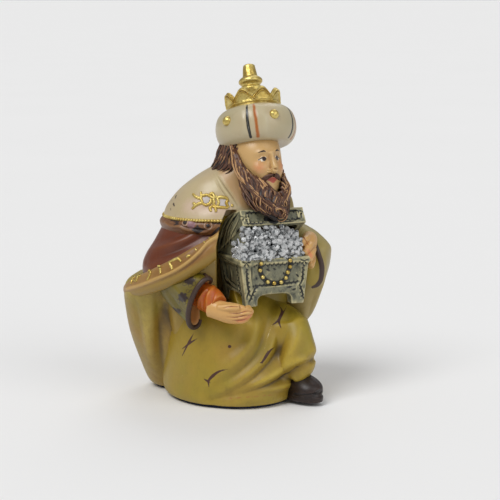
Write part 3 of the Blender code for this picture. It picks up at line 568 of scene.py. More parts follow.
def joined(name, forms):
    deselect()
    for form in forms:
        form.select_set(True)
    bpy.context.view_layer.objects.active = forms[0]
    if len(forms) > 1:
        bpy.ops.object.join()
    obj = bpy.context.view_layer.objects.active
    obj.name = name
    obj.data.name = name
    return obj


def apply(obj, kind, **settings):
    make_active(obj)
    modifier = obj.modifiers.new(kind.lower(), kind)
    for key, value in settings.items():
        setattr(modifier, key, value)
    bpy.ops.object.modifier_apply(modifier=modifier.name)
    return obj


def skinned(obj, grain):
    """One new skin over an object, with faces of an even size."""
    return apply(obj, "REMESH", mode="VOXEL", voxel_size=grain)


def fused(name, forms, grain, rounds):
    """One skin over all the forms, softened for some rounds."""
    return softened(skinned(joined(name, forms), grain), rounds)


def softened(obj, rounds):
    if rounds:
        apply(obj, "SMOOTH", factor=0.5, iterations=rounds)
    return obj


def cut(obj, cutter):
    """Cuts one closed shape out of another."""
    make_active(cutter)
    bpy.ops.object.mode_set(mode="EDIT")
    bpy.ops.mesh.select_all(action="SELECT")
    bpy.ops.mesh.normals_make_consistent(inside=False)
    bpy.ops.object.mode_set(mode="OBJECT")
    apply(obj, "BOOLEAN", operation="DIFFERENCE", solver="EXACT", object=cutter)
    bpy.data.objects.remove(cutter, do_unlink=True)


def block(size, place):
    deselect()
    bpy.ops.mesh.primitive_cube_add(size=MM, location=[value * MM for value in place])
    obj = bpy.context.view_layer.objects.active
    obj.scale = size
    bpy.ops.object.transform_apply(location=True, rotation=True, scale=True)
    return obj


def skin_of(obj):
    bpy.context.view_layer.update()
    return BVHTree.FromObject(obj, bpy.context.evaluated_depsgraph_get())


def on_skin(tree, route, count=0):
    """A smooth route laid on a skin: flat routes are seen from the eye, others go to the nearest place."""
    rows = smooth_rows(route, count or max(2, 6 * (len(route) - 1) + 1))
    laid = []
    for row in rows:
        hit = None
        if len(row) == 2:
            sight = RIGHT * (row[0] - SHEET_MIDDLE) + UP * (SHEET_MIDDLE - row[1])
            sight = Vector(sight * SHEET_STEP - BACK * EYE_DISTANCE).normalized()
            hit = tree.ray_cast(Vector(EYE * MM), sight)[0]
            if hit is None:
                depth = (Vector(laid[-1]) * MM - Vector(EYE * MM)).length if laid else 0.5
                hit = tree.find_nearest(Vector(EYE * MM) + sight * depth)[0]
        else:
            hit = tree.find_nearest(Vector(row) * MM)[0]
        laid.append(np.array(hit) / MM)
    return np.array(laid)


def gaps_to(places, line):
    """The distance of each place from a line, and how far along it the nearest spot is."""
    near = np.full(len(places), 1e9)
    share = np.zeros(len(places))
    for index in range(len(line) - 1):
        start, run = line[index], line[index + 1] - line[index]
        t = np.clip((places - start) @ run / (run @ run + 1e-12), 0, 1)
        gap = ((places - start - np.outer(t, run)) ** 2).sum(axis=1)
        nearer = gap < near
        near[nearer] = gap[nearer]
        share[nearer] = (index + t[nearer]) / (len(line) - 1)
    return np.sqrt(near), share


def close_to(places, line, reach):
    low, high = line.min(axis=0) - reach, line.max(axis=0) + reach
    return np.flatnonzero(((places > low) & (places < high)).all(axis=1))


def sculpt(obj, strokes):
    """Raises ridges and presses valleys along routes over the skin."""
    places, out = points(obj), normals(obj)
    tree = skin_of(obj)
    moved = np.zeros(len(places))
    for width, height, power, route in strokes:
        line = on_skin(tree, route)
        near = close_to(places, line, width * FOLD_REACH)
        gap, share = gaps_to(places[near], line)
        fade = np.sin(math.pi * np.clip(share, 0.06, 0.94)) ** 0.6 if len(route) > 1 else 1.0
        moved[near] += height * fade * np.exp(-((gap / width) ** power))
    move(obj, places + out * moved[:, None])


def painted(obj, name, strokes):
    """Marks how far each spot is from the edge of the nearest stroke, below nought inside it."""
    places = points(obj)
    tree = skin_of(obj)
    out = np.full(len(places), PAINT_REACH)
    for widths, route in strokes:
        ring = isinstance(widths, dict)
        reach = (widths["radius"] if ring else max(widths)) + PAINT_REACH
        line = on_skin(tree, route)
        near = close_to(places, line, reach)
        gap, share = gaps_to(places[near], line)
        if ring:
            value = np.abs(gap - widths["radius"]) - widths["line"]
        else:
            value = gap - np.interp(share, np.linspace(0, 1, len(widths)), widths)
        out[near] = np.minimum(out[near], value)
    set_mark(obj, name, out)


def read_relief(obj, near_rounds, far_rounds):
    """Marks hollows above nought and crests below it, close by and further round."""
    places, out = points(obj), normals(obj)
    edges = np.empty(len(obj.data.edges) * 2, np.int32)
    obj.data.edges.foreach_get("vertices", edges)
    a, b = edges.reshape(-1, 2).T
    size = len(places)
    count = np.maximum(np.bincount(a, minlength=size) + np.bincount(b, minlength=size), 1)[:, None]
    mean = places.copy()
    for index in range(far_rounds):
        mean = np.stack([np.bincount(a, mean[b, k], size) + np.bincount(b, mean[a, k], size)
            for k in range(3)], 1)
        mean /= count
        if index == near_rounds - 1:
            set_mark(obj, "near", ((mean - places) * out).sum(axis=1))
    set_mark(obj, "far", ((mean - places) * out).sum(axis=1))


# The most triangles that a finished piece keeps, and how near to a painted edge all of them are kept
MOST_TRIANGLES = {
    "robe": 120000, "hair": 115000, "chest": 110000, "cloak": 70000, "head": 65000, "shoulder_cloth": 55000,
    "capelet": 50000, "mantle_band": 44000, "border": 40000, "crown": 40000, "hands": 36000,
    "far_sleeve": 28000, "pad": 8000,
}
PAINT_EDGE = 0.35
RELIEF_MARKS = ("near", "far", "crest")


def thinned(obj):
    """Fewer faces where the skin is smooth; the edges of what is painted keep all of theirs."""
    obj.data.calc_loop_triangles()
    count = len(obj.data.loop_triangles)
    most = MOST_TRIANGLES.get(obj.name, count)
    if count <= most:
        return
    gap = np.full(len(obj.data.vertices), PAINT_REACH, np.float32)
    for mark in obj.data.attributes:
        if mark.domain == "POINT" and mark.data_type == "FLOAT" and mark.name not in RELIEF_MARKS:
            values = np.empty(len(gap), np.float32)
            mark.data.foreach_get("value", values)
            gap = np.minimum(gap, np.abs(values))
    kept = obj.vertex_groups.new(name="kept")
    kept.add(np.flatnonzero(gap < PAINT_EDGE).tolist(), 1.0, "REPLACE")
    apply(obj, "DECIMATE", ratio=most / count, vertex_group=kept.name, invert_vertex_group=True)
    obj.vertex_groups.clear()


def finished(obj, material, stands_for="casting", angle=None):
    thinned(obj)
    obj.data.materials.clear()
    obj.data.materials.append(material)
    make_active(obj)
    if angle is None:
        bpy.ops.object.shade_smooth()
    else:
        bpy.ops.object.shade_smooth_by_angle(angle=math.radians(angle))
    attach(obj, "root")
    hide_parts(stands_for)
    deselect()


def side_room():
    """The space that the mantle leaves open beside the chest's near side."""
    chest = bpy.context.scene.chest_sizes
    c, s = math.cos(chest.turn), math.sin(chest.turn)
    x, y, _ = chest.foot
    side, half = chest.width / MM / 2 + 0.4, chest.depth / MM / 2 + 0.4
    rings = []
    for z, share in SIDE_ROOM:
        back = half * (1.0 - 2.0 * share)
        inner = SIDE_ROOM_OVERLAP - side
        near = [(x / MM + inner * c - b * s, y / MM + inner * s + b * c, z) for b in (back, -half)]
        outer = (x / MM - side * c - back * s, y / MM - side * s + back * c, z)
        corner = (outer[0], near[1][1] - 1.0, z)
        rings.append([near[0], outer, corner, near[1]])
    return shaped("side_room", np.array(rings))


def face(side, forward, up):
    """A place given by its steps from the middle of the head."""
    c, s = math.cos(HEAD_TURN), math.sin(HEAD_TURN)
    x, y, z = FACE_MIDDLE
    return x + side * c + forward * s, y + side * s - forward * c, z + up


def on_sections(stations, angle, height, proud=0.0):
    """The place on a level form's skin at an angle from its front and a height."""
    rows = smooth_rows(stations, 60)
    x, y, across, along, turn = (np.interp(height, rows[:, 2], rows[:, k]) for k in (0, 1, 3, 4, 5))
    c, s = math.cos(math.radians(turn)), math.sin(math.radians(turn))
    side, front = (across + proud) * math.sin(angle), (along + proud) * math.cos(angle)
    return np.array([x + side * c + front * s, y + side * s - front * c, height])


def on_hat(obj):
    move(obj, points(obj) @ HAT_TURN.T + HAT_CENTRE)
    return obj


def on_chest(obj):
    chest = bpy.context.scene.chest_sizes
    c, s = math.cos(chest.turn), math.sin(chest.turn)
    turn = np.array([[c, -s, 0], [s, c, 0], [0, 0, 1]])
    move(obj, points(obj) @ turn.T + np.array(chest.foot) / MM)
    return obj


def turned_rings(profile, around, count):
    rows = smooth_rows(profile, count)
    angles = np.arange(around) * 2 * math.pi / around
    return np.array([np.column_stack([np.cos(angles) * r, np.sin(angles) * r, np.full(around, z)])
        for r, z in rows])


def beads_along(line, spacing, size, twist):
    """Small oval beads set at even steps along a line, turned across it by a twist."""
    steps = np.linalg.norm(np.diff(line, axis=0), axis=1)
    along = np.concatenate([[0], np.cumsum(steps)])
    spots = np.arange(spacing / 2, along[-1], spacing)
    beads = []
    for spot in spots:
        place = np.array([np.interp(spot, along, line[:, k]) for k in range(3)])
        ahead = np.array([np.interp(spot + 0.1, along, line[:, k]) for k in range(3)]) - place
        ahead = ahead / (np.linalg.norm(ahead) + 1e-9)
        ahead = ahead + np.array([0, 0, twist])
        ahead = ahead / np.linalg.norm(ahead)
        rows = [(*(place + ahead * size[0] * t), size[1] * w, size[1] * w) for t, w in
                ((-0.9, 0.45), (-0.5, 0.87), (0.0, 1.0), (0.5, 0.87), (0.9, 0.45))]
        beads.append(shaped("bead", limb_rings(rows, 8, 5)))
    return beads


# Cloth

ROBE_FOLD_HEIGHT = 1.25
ROBE_STROKE_WIDTH = 1.3


def build_robe(figure):
    forms = [level_form(SKIRT, 96, 60), limb_form(RAISED_THIGH), limb_form(RAISED_SHIN), level_form(TORSO)]
    robe = joined("robe", forms)
    skinned(robe, FIRST_SKIN)
    softened(robe, 6)
    cut(robe, side_room())
    robe = fused("robe", [robe], figure.cloth_skin, 3)
    sculpt(robe, [(width, height * ROBE_FOLD_HEIGHT, power, route)
        for width, height, power, route in ROBE_FOLDS])
    softened(robe, 3)
    marks = [
        ((0.05, 0.35, 0.1), [(194, 333), (189, 342), (182, 356)]),
        ((0.05, 0.3, 0.1), [(198, 338), (190, 343), (182, 349)]),
        ((0.05, 0.4, 0.1), [(228, 369), (218, 372), (209, 380), (209, 387)]),
        ((0.08, 0.3, 0.05), [(204, 379), (210.5, 383)]),
        ((0.05, 0.4, 0.1), [(279, 305), (282, 311.5), (279, 321), (281, 328)]),
        ((0.05, 0.35, 0.1), [(287, 306), (279, 319.5), (272.5, 325)]),
        ((0.05, 0.4, 0.1), [(275, 347), (270, 351), (263, 361), (260, 363)]),
        ((0.05, 0.3, 0.1), [(268, 350.5), (262, 364)]), ((0.4, 0.4), [(229.5, 346.5), (229.8, 346.5)]),
        ((0.1, 0.35, 0.1), [(-18, 6, 24), (-16, 9, 18)]), ((0.1, 0.35, 0.1), [(18, 12, 26), (16, 14, 20)]),
    ]
    painted(robe, "stroke", [(tuple(ROBE_STROKE_WIDTH * width for width in widths), route)
        for widths, route in marks])
    specks = [((0.05, 0.18, 0.05), [(x, 398.6 - (x - 229) * 0.08), (x + w, 398.0 - (x - 229) * 0.08)])
              for x, w in ((229, 3), (236, 5), (246, 4), (252, 7), (263, 3), (268, 4))]
    painted(robe, "speck", specks + [((0.12, 0.2), [(286, 388), (287, 388.5)])])
    # Painted highlights: a thin pale glint down a raised fold and a pale dot.
    painted(robe, "robe_glint", [((0.03, 0.1, 0.03), [(272.5, 323), (268, 336), (264.5, 349)]),
        ((0.12, 0.12), [(182, 376), (182.3, 376)])])
    read_relief(robe, 4, 60)
    coats = [("speck", (150, 90, 40), 0.25), ("stroke", (68, 33, 20), 0.1),
        ("robe_glint", (214, 200, 150), 0.05)]
    tints = [((142, 130, 37), 30, 0.6), ((161, 122, 47), 42, 0.5)]
    material = resin("robe_paint", (153, 127, 26), (181, 155, 50), (95, 73, 18), washed=0.45, rubbed=0.25,
                     coats=coats, reach=1.2, tints=tints, gloss=0.5, grain=0.5, mottle=0.1)
    finished(robe, material)


def build_cloak(figure):
    cloak = joined("cloak", [level_form(SIDE_FALL, 72, 60), level_form(BACK_FALL, 96, 60)])
    skinned(cloak, FIRST_SKIN)
    cut(cloak, side_room())
    cloak = fused("cloak", [cloak], figure.cloth_skin, 4)
    sculpt(cloak, FALL_FOLDS)
    softened(cloak, 2)
    marks = []
    for x, y, z in ((-16, 30, 22), (-3, 32, 30), (9, 32, 18), (18, 26, 32)):
        marks.append(((0.08, 0.45, 0.1), [(x - 1.2, y, z + 3.4), (x, y, z), (x + 0.6, y, z - 3.4)]))
        marks.append(((0.08, 0.38, 0.1), [(x + 1.8, y, z + 2.6), (x, y, z), (x - 1.6, y, z - 2.4)]))
    painted(cloak, "stroke", marks)
    read_relief(cloak, 4, 60)
    tints = [((138, 125, 44), 34, 0.6), ((158, 119, 45), 50, 0.5)]
    material = resin("cloak_paint", (148, 122, 42), (187, 163, 80), (89, 67, 19), washed=0.55, rubbed=0.6,
                     reach=1.0,
                     tints=tints, gloss=0.46, grain=0.7, mottle=0.17, coats=[("stroke", (68, 33, 20), 0.1)])
    finished(cloak, material)


def build_mantle_band(figure):
    rings = limb_rings(MANTLE_ROLL, 72, 420)
    angles = np.tile(np.arange(72) * 2 * math.pi / 72, (420, 1))
    band = shaped("mantle_band", rings, {"across": angles})
    cut(band, side_room())
    across = np.empty(len(band.data.vertices), np.float32)
    band.data.attributes["across"].data.foreach_get("value", across)
    edge = [(226, 224), (220, 234), (208, 242), (198, 253), (185, 264), (170, 273), (155, 279), (140, 285),
        (126, 289)]
    sculpt(band, [
        (0.4, 0.5, 2.0, edge), (1.3, -0.4, 2.0, [(x - 2, y - 5) for x, y in edge]),
        (0.6, -0.35, 2.0, [(x + 1, y + 4) for x, y in edge]),
    ])
    painted(band, "ridge", [((0.5, 0.6, 0.6, 0.6, 0.6, 0.6, 0.5), edge)])
    set_mark(band, "under", (across - 2.9) * 2.6)
    read_relief(band, 3, 30)
    coats = [("under", (146, 116, 44), 0.6), ("ridge", (186, 148, 82), 0.3)]
    tints = [((169, 130, 75), 60, 0.6)]
    material = resin("band_paint", (130, 90, 36), (162, 123, 60), (98, 61, 27), wash=(70, 40, 20), washed=0.8,
                     rubbed=0.3, coats=coats, tints=tints)
    finished(band, material)


def build_shoulder_cloth(figure):
    cloth = joined("shoulder_cloth", [level_form(SHOULDER_CLOTH, 96, 50)])
    cut(cloth, side_room())
    cloth = fused("shoulder_cloth", [cloth], figure.cloth_skin, 3)
    sculpt(cloth, CLOTH_FOLDS)
    read_relief(cloth, 4, 60)
    places = points(cloth)
    line = smooth_rows(MANTLE_ROLL, 121)[:, :3]
    nearest = np.argmin(((places[:, None, :2] - line[None, :, :2]) ** 2).sum(axis=2), axis=1)
    set_mark(cloth, "low", places[:, 2] - line[nearest, 2] + 0.6)
    material = resin("terracotta_paint", (99, 42, 8), (124, 66, 24), (59, 26, 15), washed=0.5, rubbed=0.3,
                     reach=1.0, coats=[("low", (154, 128, 60), 0.5)])
    finished(cloth, material)


def build_border(figure):
    border = joined("border", [level_form(BORDER, 96, 30)])
    cut(border, side_room())
    border = fused("border", [border], figure.fine_skin, 1)
    scallops = [(165, 222), (170, 226), (179, 226.5), (184, 229), (193, 231), (203, 232.5), (212, 229),
        (216, 224)]
    sculpt(border, [
        (0.35, -0.35, 2.0, [(x, y - 2.2) for x, y in scallops]), (0.5, 0.3, 2.0, scallops),
        (0.7, 0.4, 2.0, [(184.8, 222.2)]), (1.3, 0.5, 3.0, [(189.8, 223)]), (0.9, 0.5, 2.0, [(208, 225.6)]),
    ])
    painted(border, "jewel", [
        ((0.75, 0.75), [(184.8, 222.2)]), ((0.1, 1.4, 0.1), [(191.4, 229.7), (197.6, 229.7), (204.8, 229.2)]),
        ((0.2, 0.9, 0.2), [(197.4, 225.4), (197.6, 229), (196.6, 233.4)]),
        ((0.7, 0.7), [(208, 225.6)]), ((0.3, 0.3), [(168, 217.7)]),
        ((0.1, 0.5, 0.1), [(170, 221), (174.4, 219)]),
        ((0.35, 0.35), [(176.5, 223)]), ((0.25, 0.3), [(174, 225), (178, 224)]),
        ((0.3, 0.5), [(228, 220), (219, 228), (208, 239)]),
    ])
    painted(border, "ringed", [({"radius": 1.05, "line": 0.16}, [(184.8, 222.2)]),
        ({"radius": 1.3, "line": 0.16}, [(208, 225.6)])])
    painted(border, "oval", [((1.1, 1.4, 1.2), [(190, 220.6), (191, 223.4), (190.6, 225.6)])])
    painted(border, "shadow", [((0.7, 0.9, 1.3), [(166, 209.6), (178, 213.4), (190, 217.4), (206, 220),
        (228, 221.4)]),
                               ((0.7, 0.9), [(14, 16, 59.6), (-6, 19, 59.6), (-18, 12, 59.6),
                                   (-21, 4, 59.6)])])
    read_relief(border, 3, 30)
    coats = [("oval", (142, 106, 112), 0.3), ("shadow", (52, 32, 28), 0.3), ("jewel", (38, 26, 24), 0.1),
             ("ringed", (176, 148, 126), 0.08)]
    material = resin("border_paint", (112, 71, 38), (140, 99, 58), (62, 34, 20), washed=0.7, coats=coats,
                     tints=[((123, 81, 42), 80, 0.7)])
    finished(border, material)


def build_capelet(figure):
    capelet = joined("capelet", [level_form(CAPELET, 128, 60)])
    cut(capelet, side_room())
    capelet = fused("capelet", [capelet], figure.fine_skin, 2)
    sculpt(capelet, [
        (0.32, -0.4, 2.0, [(217, 173), (224, 185), (232, 196), (238, 205)]),
        (0.32, -0.3, 2.0, [(213.5, 175), (220, 187), (228, 199), (234, 208)]),
        (0.7, 0.25, 2.0, [(215.2, 174), (222, 186), (230, 197.5), (236, 206.5)]),
        (3.0, 0.5, 2.0, [(180, 190), (200, 182), (212, 176)]),
        (2.4, -0.5, 2.0, [(196, 212), (210, 206), (224, 200)]),
    ])
    painted(capelet, "lavender", [((1.2, 1.3), [(206, 200), (206.4, 200)]),
        ((0.9, 1.3, 0.9), [(219, 202.6), (223.5, 203), (227, 204)])])
    painted(capelet, "spot", [((0.4, 0.2), [(176, 196), (175.2, 198.4)]),
                              ((0.35, 0.2), [(173.4, 203.6), (174.4, 206)]),
                              ((0.2, 0.1), [(172, 200), (171.2, 201)]),
                              ((0.2, 0.1), [(170.6, 208.6), (170.8, 210.6)])])
    painted(capelet, "lapel", [((3.4, 3.6, 3.6), [(229, 168), (239, 184), (248, 198)])])
    painted(capelet, "blush", [((2.2, 3.0, 2.0), [(190, 206), (206, 206), (224, 210)])])
    read_relief(capelet, 3, 50)
    coats = [("blush", (196, 172, 148), 2.4), ("lapel", (176, 142, 98), 1.0),
             ("lavender", (188, 180, 176), 0.2), ("spot", (60, 44, 34), 0.1)]
    material = resin("ivory_paint", (183, 167, 127), (197, 181, 142), (139, 111, 73), wash=(96, 66, 36),
                     washed=0.6,
                     rubbed=0.2, coats=coats, gloss=0.38,
                     tints=[((176, 157, 120), 60, 0.7), ((185, 165, 134), 90, 0.4)])
    finished(capelet, material)
    collar = fused("far_collar", [limb_form(FAR_COLLAR, 32, 40)], figure.fine_skin, 1)
    sculpt(collar, [(0.5, -0.4, 2.0, [(289, 182), (291, 192), (290, 204)])])
    read_relief(collar, 3, 30)
    khaki = resin("collar_paint", (152, 134, 82), (178, 160, 106), (92, 74, 40))
    finished(collar, khaki)


def build_near_sleeve(figure):
    rings = limb_rings(NEAR_SLEEVE, 160, 110)
    angles = np.arange(160) * 2 * math.pi / 160
    centre = rings[-1].mean(axis=0)
    inward = rings[-12].mean(axis=0) - centre
    inward /= np.linalg.norm(inward)
    folded = 0.5 - 0.5 * np.tanh((np.abs(angles - math.pi) - 0.9) * 4)
    rim = centre + (rings[-1] - centre) * (1.0 - 0.35 * folded[:, None]) + inward * 3.0 * folded[:, None]
    inside = [rim]
    for share in (0.06, 0.3, 0.65, 1.0):
        lip = 0.88 - 0.2 * share
        inside.append(centre + (rim - centre) * lip + inward * 4.5 * share)
    easing = np.linspace(0, 1, 30)[:, None, None] ** 1.5
    rings[-30:] += (rim - rings[-1])[None] * easing
    rings = np.concatenate([rings, np.array(inside[1:])])
    lining = np.zeros(rings.shape[:2])
    lining[-4:] = 1.0
    sleeve = shaped("near_sleeve", rings, {"lining": lining})
    sculpt(sleeve, [
        (1.4, -0.7, 1.6, [(168, 292), (178, 308), (186, 318)]),
        (1.2, 0.5, 1.8, [(172, 284), (184, 298), (190, 312)]),
        (1.3, -0.5, 1.6, [(176, 280), (190, 284), (200, 282)]),
    ])
    flowers, ringed = [], []
    for x, y, size in ((189, 279.6, 1.0), (182.4, 297.4, 0.95), (178, 311, 0.5)):
        flowers.append(((1.05 * size, 1.05 * size), [(x - 0.8, y), (x + 0.8, y + 0.6)]))
        for dx, dy in ((-3.2, -1.6), (-1.0, -3.6), (2.4, -2.8), (3.4, 0.6), (-0.6, 3.2), (-3.0, 1.8),
                (2.0, 3.0)):
            flowers.append(((0.62 * size, 0.62 * size), [(x + dx * size, y + dy * size),
                (x + dx * size + 0.4, y + dy * size)]))
        for dx, dy in ((-4.2, 4.0), (1.6, 5.6), (4.8, 4.0), (4.6, -0.6)):
            ringed.append(({"radius": 0.72 * size, "line": 0.11}, [(x + dx * size, y + dy * size)]))
    for place in ((-20, -8, 38), (-18, -6, 43), (-14, -20, 32), (-12, -10, 45)):
        flowers.append(((1.1, 1.2), [place, tuple(np.array(place) + 0.8)]))
    ringed += [({"radius": 0.55, "line": 0.1}, [place]) for place in ((187.6, 291), (191, 291.6),
        (201.6, 277), (203.4, 279.4))]
    painted(sleeve, "flower", flowers)
    painted(sleeve, "ringed", ringed)
    read_relief(sleeve, 3, 40)
    coats = [("flower", (40, 24, 18), 0.2), ("ringed", (48, 32, 20), 0.08)]
    olive = resin("sleeve_paint", (98, 84, 6), (126, 111, 28), (76, 63, 20), washed=0.5, coats=coats,
                  tints=[((97, 100, 25), 60, 0.7)])
    shader = olive.node_tree.nodes["Principled BSDF"]
    paint = Flow(olive.node_tree, shader.inputs["Base Color"].links[0].from_socket)
    link(paint.mark("lining").step(0.4, 0.6).mix(paint, LINING_TONE), shader, "Base Color")
    finished(sleeve, olive)
    line = rim[np.arange(-54, 55)]
    sizes = 0.86 - 0.2 * np.abs(np.linspace(-1, 1, len(line))) ** 3
    rows = np.column_stack([line, sizes, sizes])[::3]
    cuff = shaped("near_cuff", limb_rings(rows, 18, 200))
    curl = on_skin(skin_of(sleeve), [(212, 273), (207, 272), (205.4, 275.4), (208.6, 278), (211, 276)], 30)
    curl = shaped("curl", limb_rings([(*place, 0.75, 0.75) for place in curl], 12, 60))
    cuff = joined("near_cuff", [cuff, curl])
    read_relief(cuff, 3, 10)
    brown = resin("cuff_paint", (34, 17, 9), (64, 41, 27), (18, 9, 6), rubbed=0.7, gloss=0.52, grain=0.5,
        hollow=0.05)
    finished(cuff, brown)
    inner = limb_rings(INNER_SLEEVE, 64, 60)
    inner = fused("inner_sleeve", [shaped("form", inner)], figure.fine_skin, 1)
    sculpt(inner, [
        (0.7, 0.6, 2.0, [(214, 286), (208, 296), (207, 312)]),
        (0.4, -0.5, 2.0, [(209.6, 288), (203, 298), (202.6, 312)]),
        (0.4, -0.5, 2.0, [(218, 287), (212, 298), (211.4, 314)]),
        (0.6, 0.5, 2.0, [(205, 290), (199, 300), (198, 312)]),
    ])
    painted(inner, "flame", [((0.3, 0.8, 0.3), [(212, 285), (205, 292), (200, 304)]),
        ((0.2, 0.4, 0.2), [(219, 288), (213, 297), (210, 312)])])
    read_relief(inner, 3, 20)
    orange = resin("inner_sleeve_paint", (164, 106, 6), (192, 142, 28), (134, 57, 15), washed=0.5,
                   wash=(120, 40, 16), coats=[("flame", (186, 62, 26), 0.5)])
    finished(inner, orange)


def build_far_sleeve(figure):
    sleeve = fused("far_sleeve", [level_form(FAR_SLEEVE, 64, 50), limb_form(FAR_ARM)], figure.cloth_skin, 3)
    edge = [(312, 234), (314.5, 241), (317.5, 251), (321.8, 265.5), (321.4, 278), (318, 284.5),
        (312.4, 287.4)]
    sculpt(sleeve, [
        (1.4, -0.8, 1.6, [(316, 292), (313, 304), (309, 318)]),
        (1.4, 0.6, 1.8, [(324, 250), (324, 276), (315, 304)]),
        (1.6, -0.9, 1.6, [(31, 4, 50), (30, 5, 40), (28, 4, 30)]),
        (1.6, 0.8, 1.8, [(33, 0, 48), (32, 0, 38), (29, 0, 28)]),
        (0.8, 0.45, 3.0, edge), (1.2, -0.5, 2.0, [(311, 246), (315, 262), (315, 276)]),
    ])
    painted(sleeve, "trim", [((0.35, 0.6, 0.9, 0.9, 0.8, 0.8, 0.4), edge)])
    painted(sleeve, "lined", [((1.4, 2.2, 2.0), [(307, 246), (312, 262), (313, 280)])])
    read_relief(sleeve, 4, 50)
    coats = [("lined", (164, 142, 56), 0.4), ("trim", (66, 46, 38), 0.15)]
    material = resin("far_sleeve_paint", (152, 132, 74), (178, 160, 104), (98, 80, 40), washed=0.5,
                     coats=coats, reach=1.1, tints=[((144, 132, 72), 50, 0.6)])
    finished(sleeve, material)


# Head, hair and hat


def face_form(rows, around, count):
    """A form whose sections are set by their steps from the middle of the head."""
    return limb_form([(*face(*row[:3]), *row[3:]) for row in rows], around, count)


def build_head(figure):
    forms = [level_form(SKULL, 64, 40), limb_form(NECK)]
    nose = [(0.0, 7.6, 2.8, 0.8, 0.9), (0.0, 8.8, 0.0, 0.85, 1.1), (0.0, 9.9, -2.2, 1.05, 1.2),
        (0.0, 8.9, -3.3, 0.9, 0.7)]
    forms.append(face_form(nose, 20, 20))
    for side in (-1, 1):
        wing = [(side * 0.9, 8.2, -2.5, 0.6, 0.6), (side * 1.25, 8.5, -2.9, 0.75, 0.75),
            (side * 1.1, 8.2, -3.4, 0.5, 0.5)]
        forms.append(face_form(wing, 14, 8))
    upper = [(-2.1, 7.5, -5.6, 0.3, 0.3), (-0.7, 8.4, -5.1, 0.45, 0.55), (0.7, 8.4, -5.1, 0.45, 0.55),
        (2.1, 7.5, -5.6, 0.3, 0.3)]
    lower = [(-1.7, 7.4, -6.0, 0.3, 0.3), (0.0, 8.3, -6.5, 0.5, 0.65), (1.7, 7.4, -6.0, 0.3, 0.3)]
    for rows in (upper, lower):
        forms.append(face_form(rows, 14, 16))
    head = fused("head", forms, figure.face_skin, 3)
    strokes = [(2.4, 0.9, 2.0, [face(0, 7.8, -9.2)]), (0.3, -0.35, 2.0,
        [face(-2.0, 7.6, -5.7), face(0, 8.8, -5.8), face(2.0, 7.6, -5.7)]),
               (0.45, -0.25, 2.0, [face(0, 8.6, -3.9), face(0, 8.4, -4.8)])]
    whites, darks, lashes, blush = [], [], [], []
    for side in (-1, 1):
        strokes += [
            (1.5, -1.0, 2.0, [face(side * 1.9, 8.4, 1.2), face(side * 3.2, 8.0, 1.0),
                face(side * 4.6, 7.2, 0.9)]),
            (0.95, 0.75, 2.2, [face(side * 3.0, 8.0, 0.9)]),
            (0.3, 0.22, 2.0, [face(side * 1.7, 8.2, 0.8), face(side * 3.0, 8.4, 1.75),
                face(side * 4.4, 7.4, 0.8)]),
            (0.3, 0.15, 2.0, [face(side * 1.8, 8.2, 0.6), face(side * 3.0, 8.3, 0.15),
                face(side * 4.3, 7.4, 0.6)]),
            (0.8, 0.45, 2.0, [face(side * 1.0, 8.8, 3.0), face(side * 3.0, 8.6, 3.7),
                face(side * 5.2, 7.2, 2.8)]),
            (2.0, 0.5, 2.0, [face(side * 4.0, 7.0, -2.4)]),
        ]
        whites.append(((0.05, 0.62, 0.6, 0.05), [face(side * 1.8, 8.2, 0.85), face(side * 2.6, 8.4, 0.95),
                                                face(side * 3.4, 8.2, 0.95), face(side * 4.3, 7.5, 0.8)]))
        darks.append(((0.62, 0.62), [face(side * 2.95, 8.5, 1.02)]))
        lashes.append(((0.12, 0.26, 0.16), [face(side * 1.75, 8.2, 0.95), face(side * 3.0, 8.6, 1.66),
            face(side * 4.6, 7.4, 0.9)]))
        lashes.append(((0.14, 0.3, 0.08), [face(side * 2.1, 8.7, 3.25), face(side * 3.2, 8.6, 3.75),
            face(side * 4.9, 7.4, 3.0)]))
        blush.append(((1.2, 1.2), [face(side * 4.0, 7.2, -1.8)]))
    sculpt(head, strokes)
    softened(head, 1)
    painted(head, "white", whites)
    painted(head, "dark", darks + lashes)
    painted(head, "blush", blush)
    painted(head, "lip", [((0.1, 0.5, 0.42, 0.5, 0.1), [face(-2.1, 7.5, -5.6), face(-0.9, 8.6, -5.3),
                                                        face(0, 8.9, -5.35),
                                                        face(0.9, 8.6, -5.3), face(2.1, 7.5, -5.6)]),
                          ((0.1, 0.55, 0.1), [face(-1.7, 7.6, -6.0), face(0, 8.8, -6.3),
                                                        face(1.7, 7.6, -6.0)])])
    read_relief(head, 3, 40)
    coats = [("blush", (206, 136, 92), 2.2), ("lip", (182, 84, 66), 0.14), ("white", (226, 214, 196), 0.08),
             ("dark", (44, 26, 20), 0.07)]
    material = resin("skin_paint", (196, 158, 102), (209, 174, 121), (162, 111, 66), wash=(120, 66, 40),
                     washed=0.6, rubbed=0.2, coats=coats, gloss=0.36, grain=0.1, hollow=0.08)
    finished(head, material)


def strand(route, radius, around=14, count=36, flat=0.75, lobes=3, shade=0.0):
    """One grooved lock, with the side that looks away from the head's middle marked as its crest."""
    share = np.linspace(0, 1, len(route))
    rows = []
    for t, place in zip(share, route):
        swell = 0.6 + 0.4 * math.sin(math.pi * min(1.0, t * 1.3 + 0.15))
        size = radius * swell * (1.0 - 0.62 * max(0.0, t - 0.62) / 0.38)
        rows.append((*place, size, size * flat))
    rings = limb_rings(rows, around, count)
    centre = rings.mean(axis=1, keepdims=True)
    groove = np.cos(lobes * np.arange(around) * 2 * math.pi / around + radius * 40)[None, :, None]
    rings = centre + (rings - centre) * (1.0 + 0.16 * groove)
    out = centre - LOCKS_MIDDLE
    out /= np.linalg.norm(out, axis=2, keepdims=True)
    spread = rings - centre
    spread /= np.linalg.norm(spread, axis=2, keepdims=True) + 1e-9
    crest = (spread * out).sum(axis=2) * 0.7 + groove[:, :, 0] * 0.4 + shade
    return shaped("strand", rings, {"crest": crest})


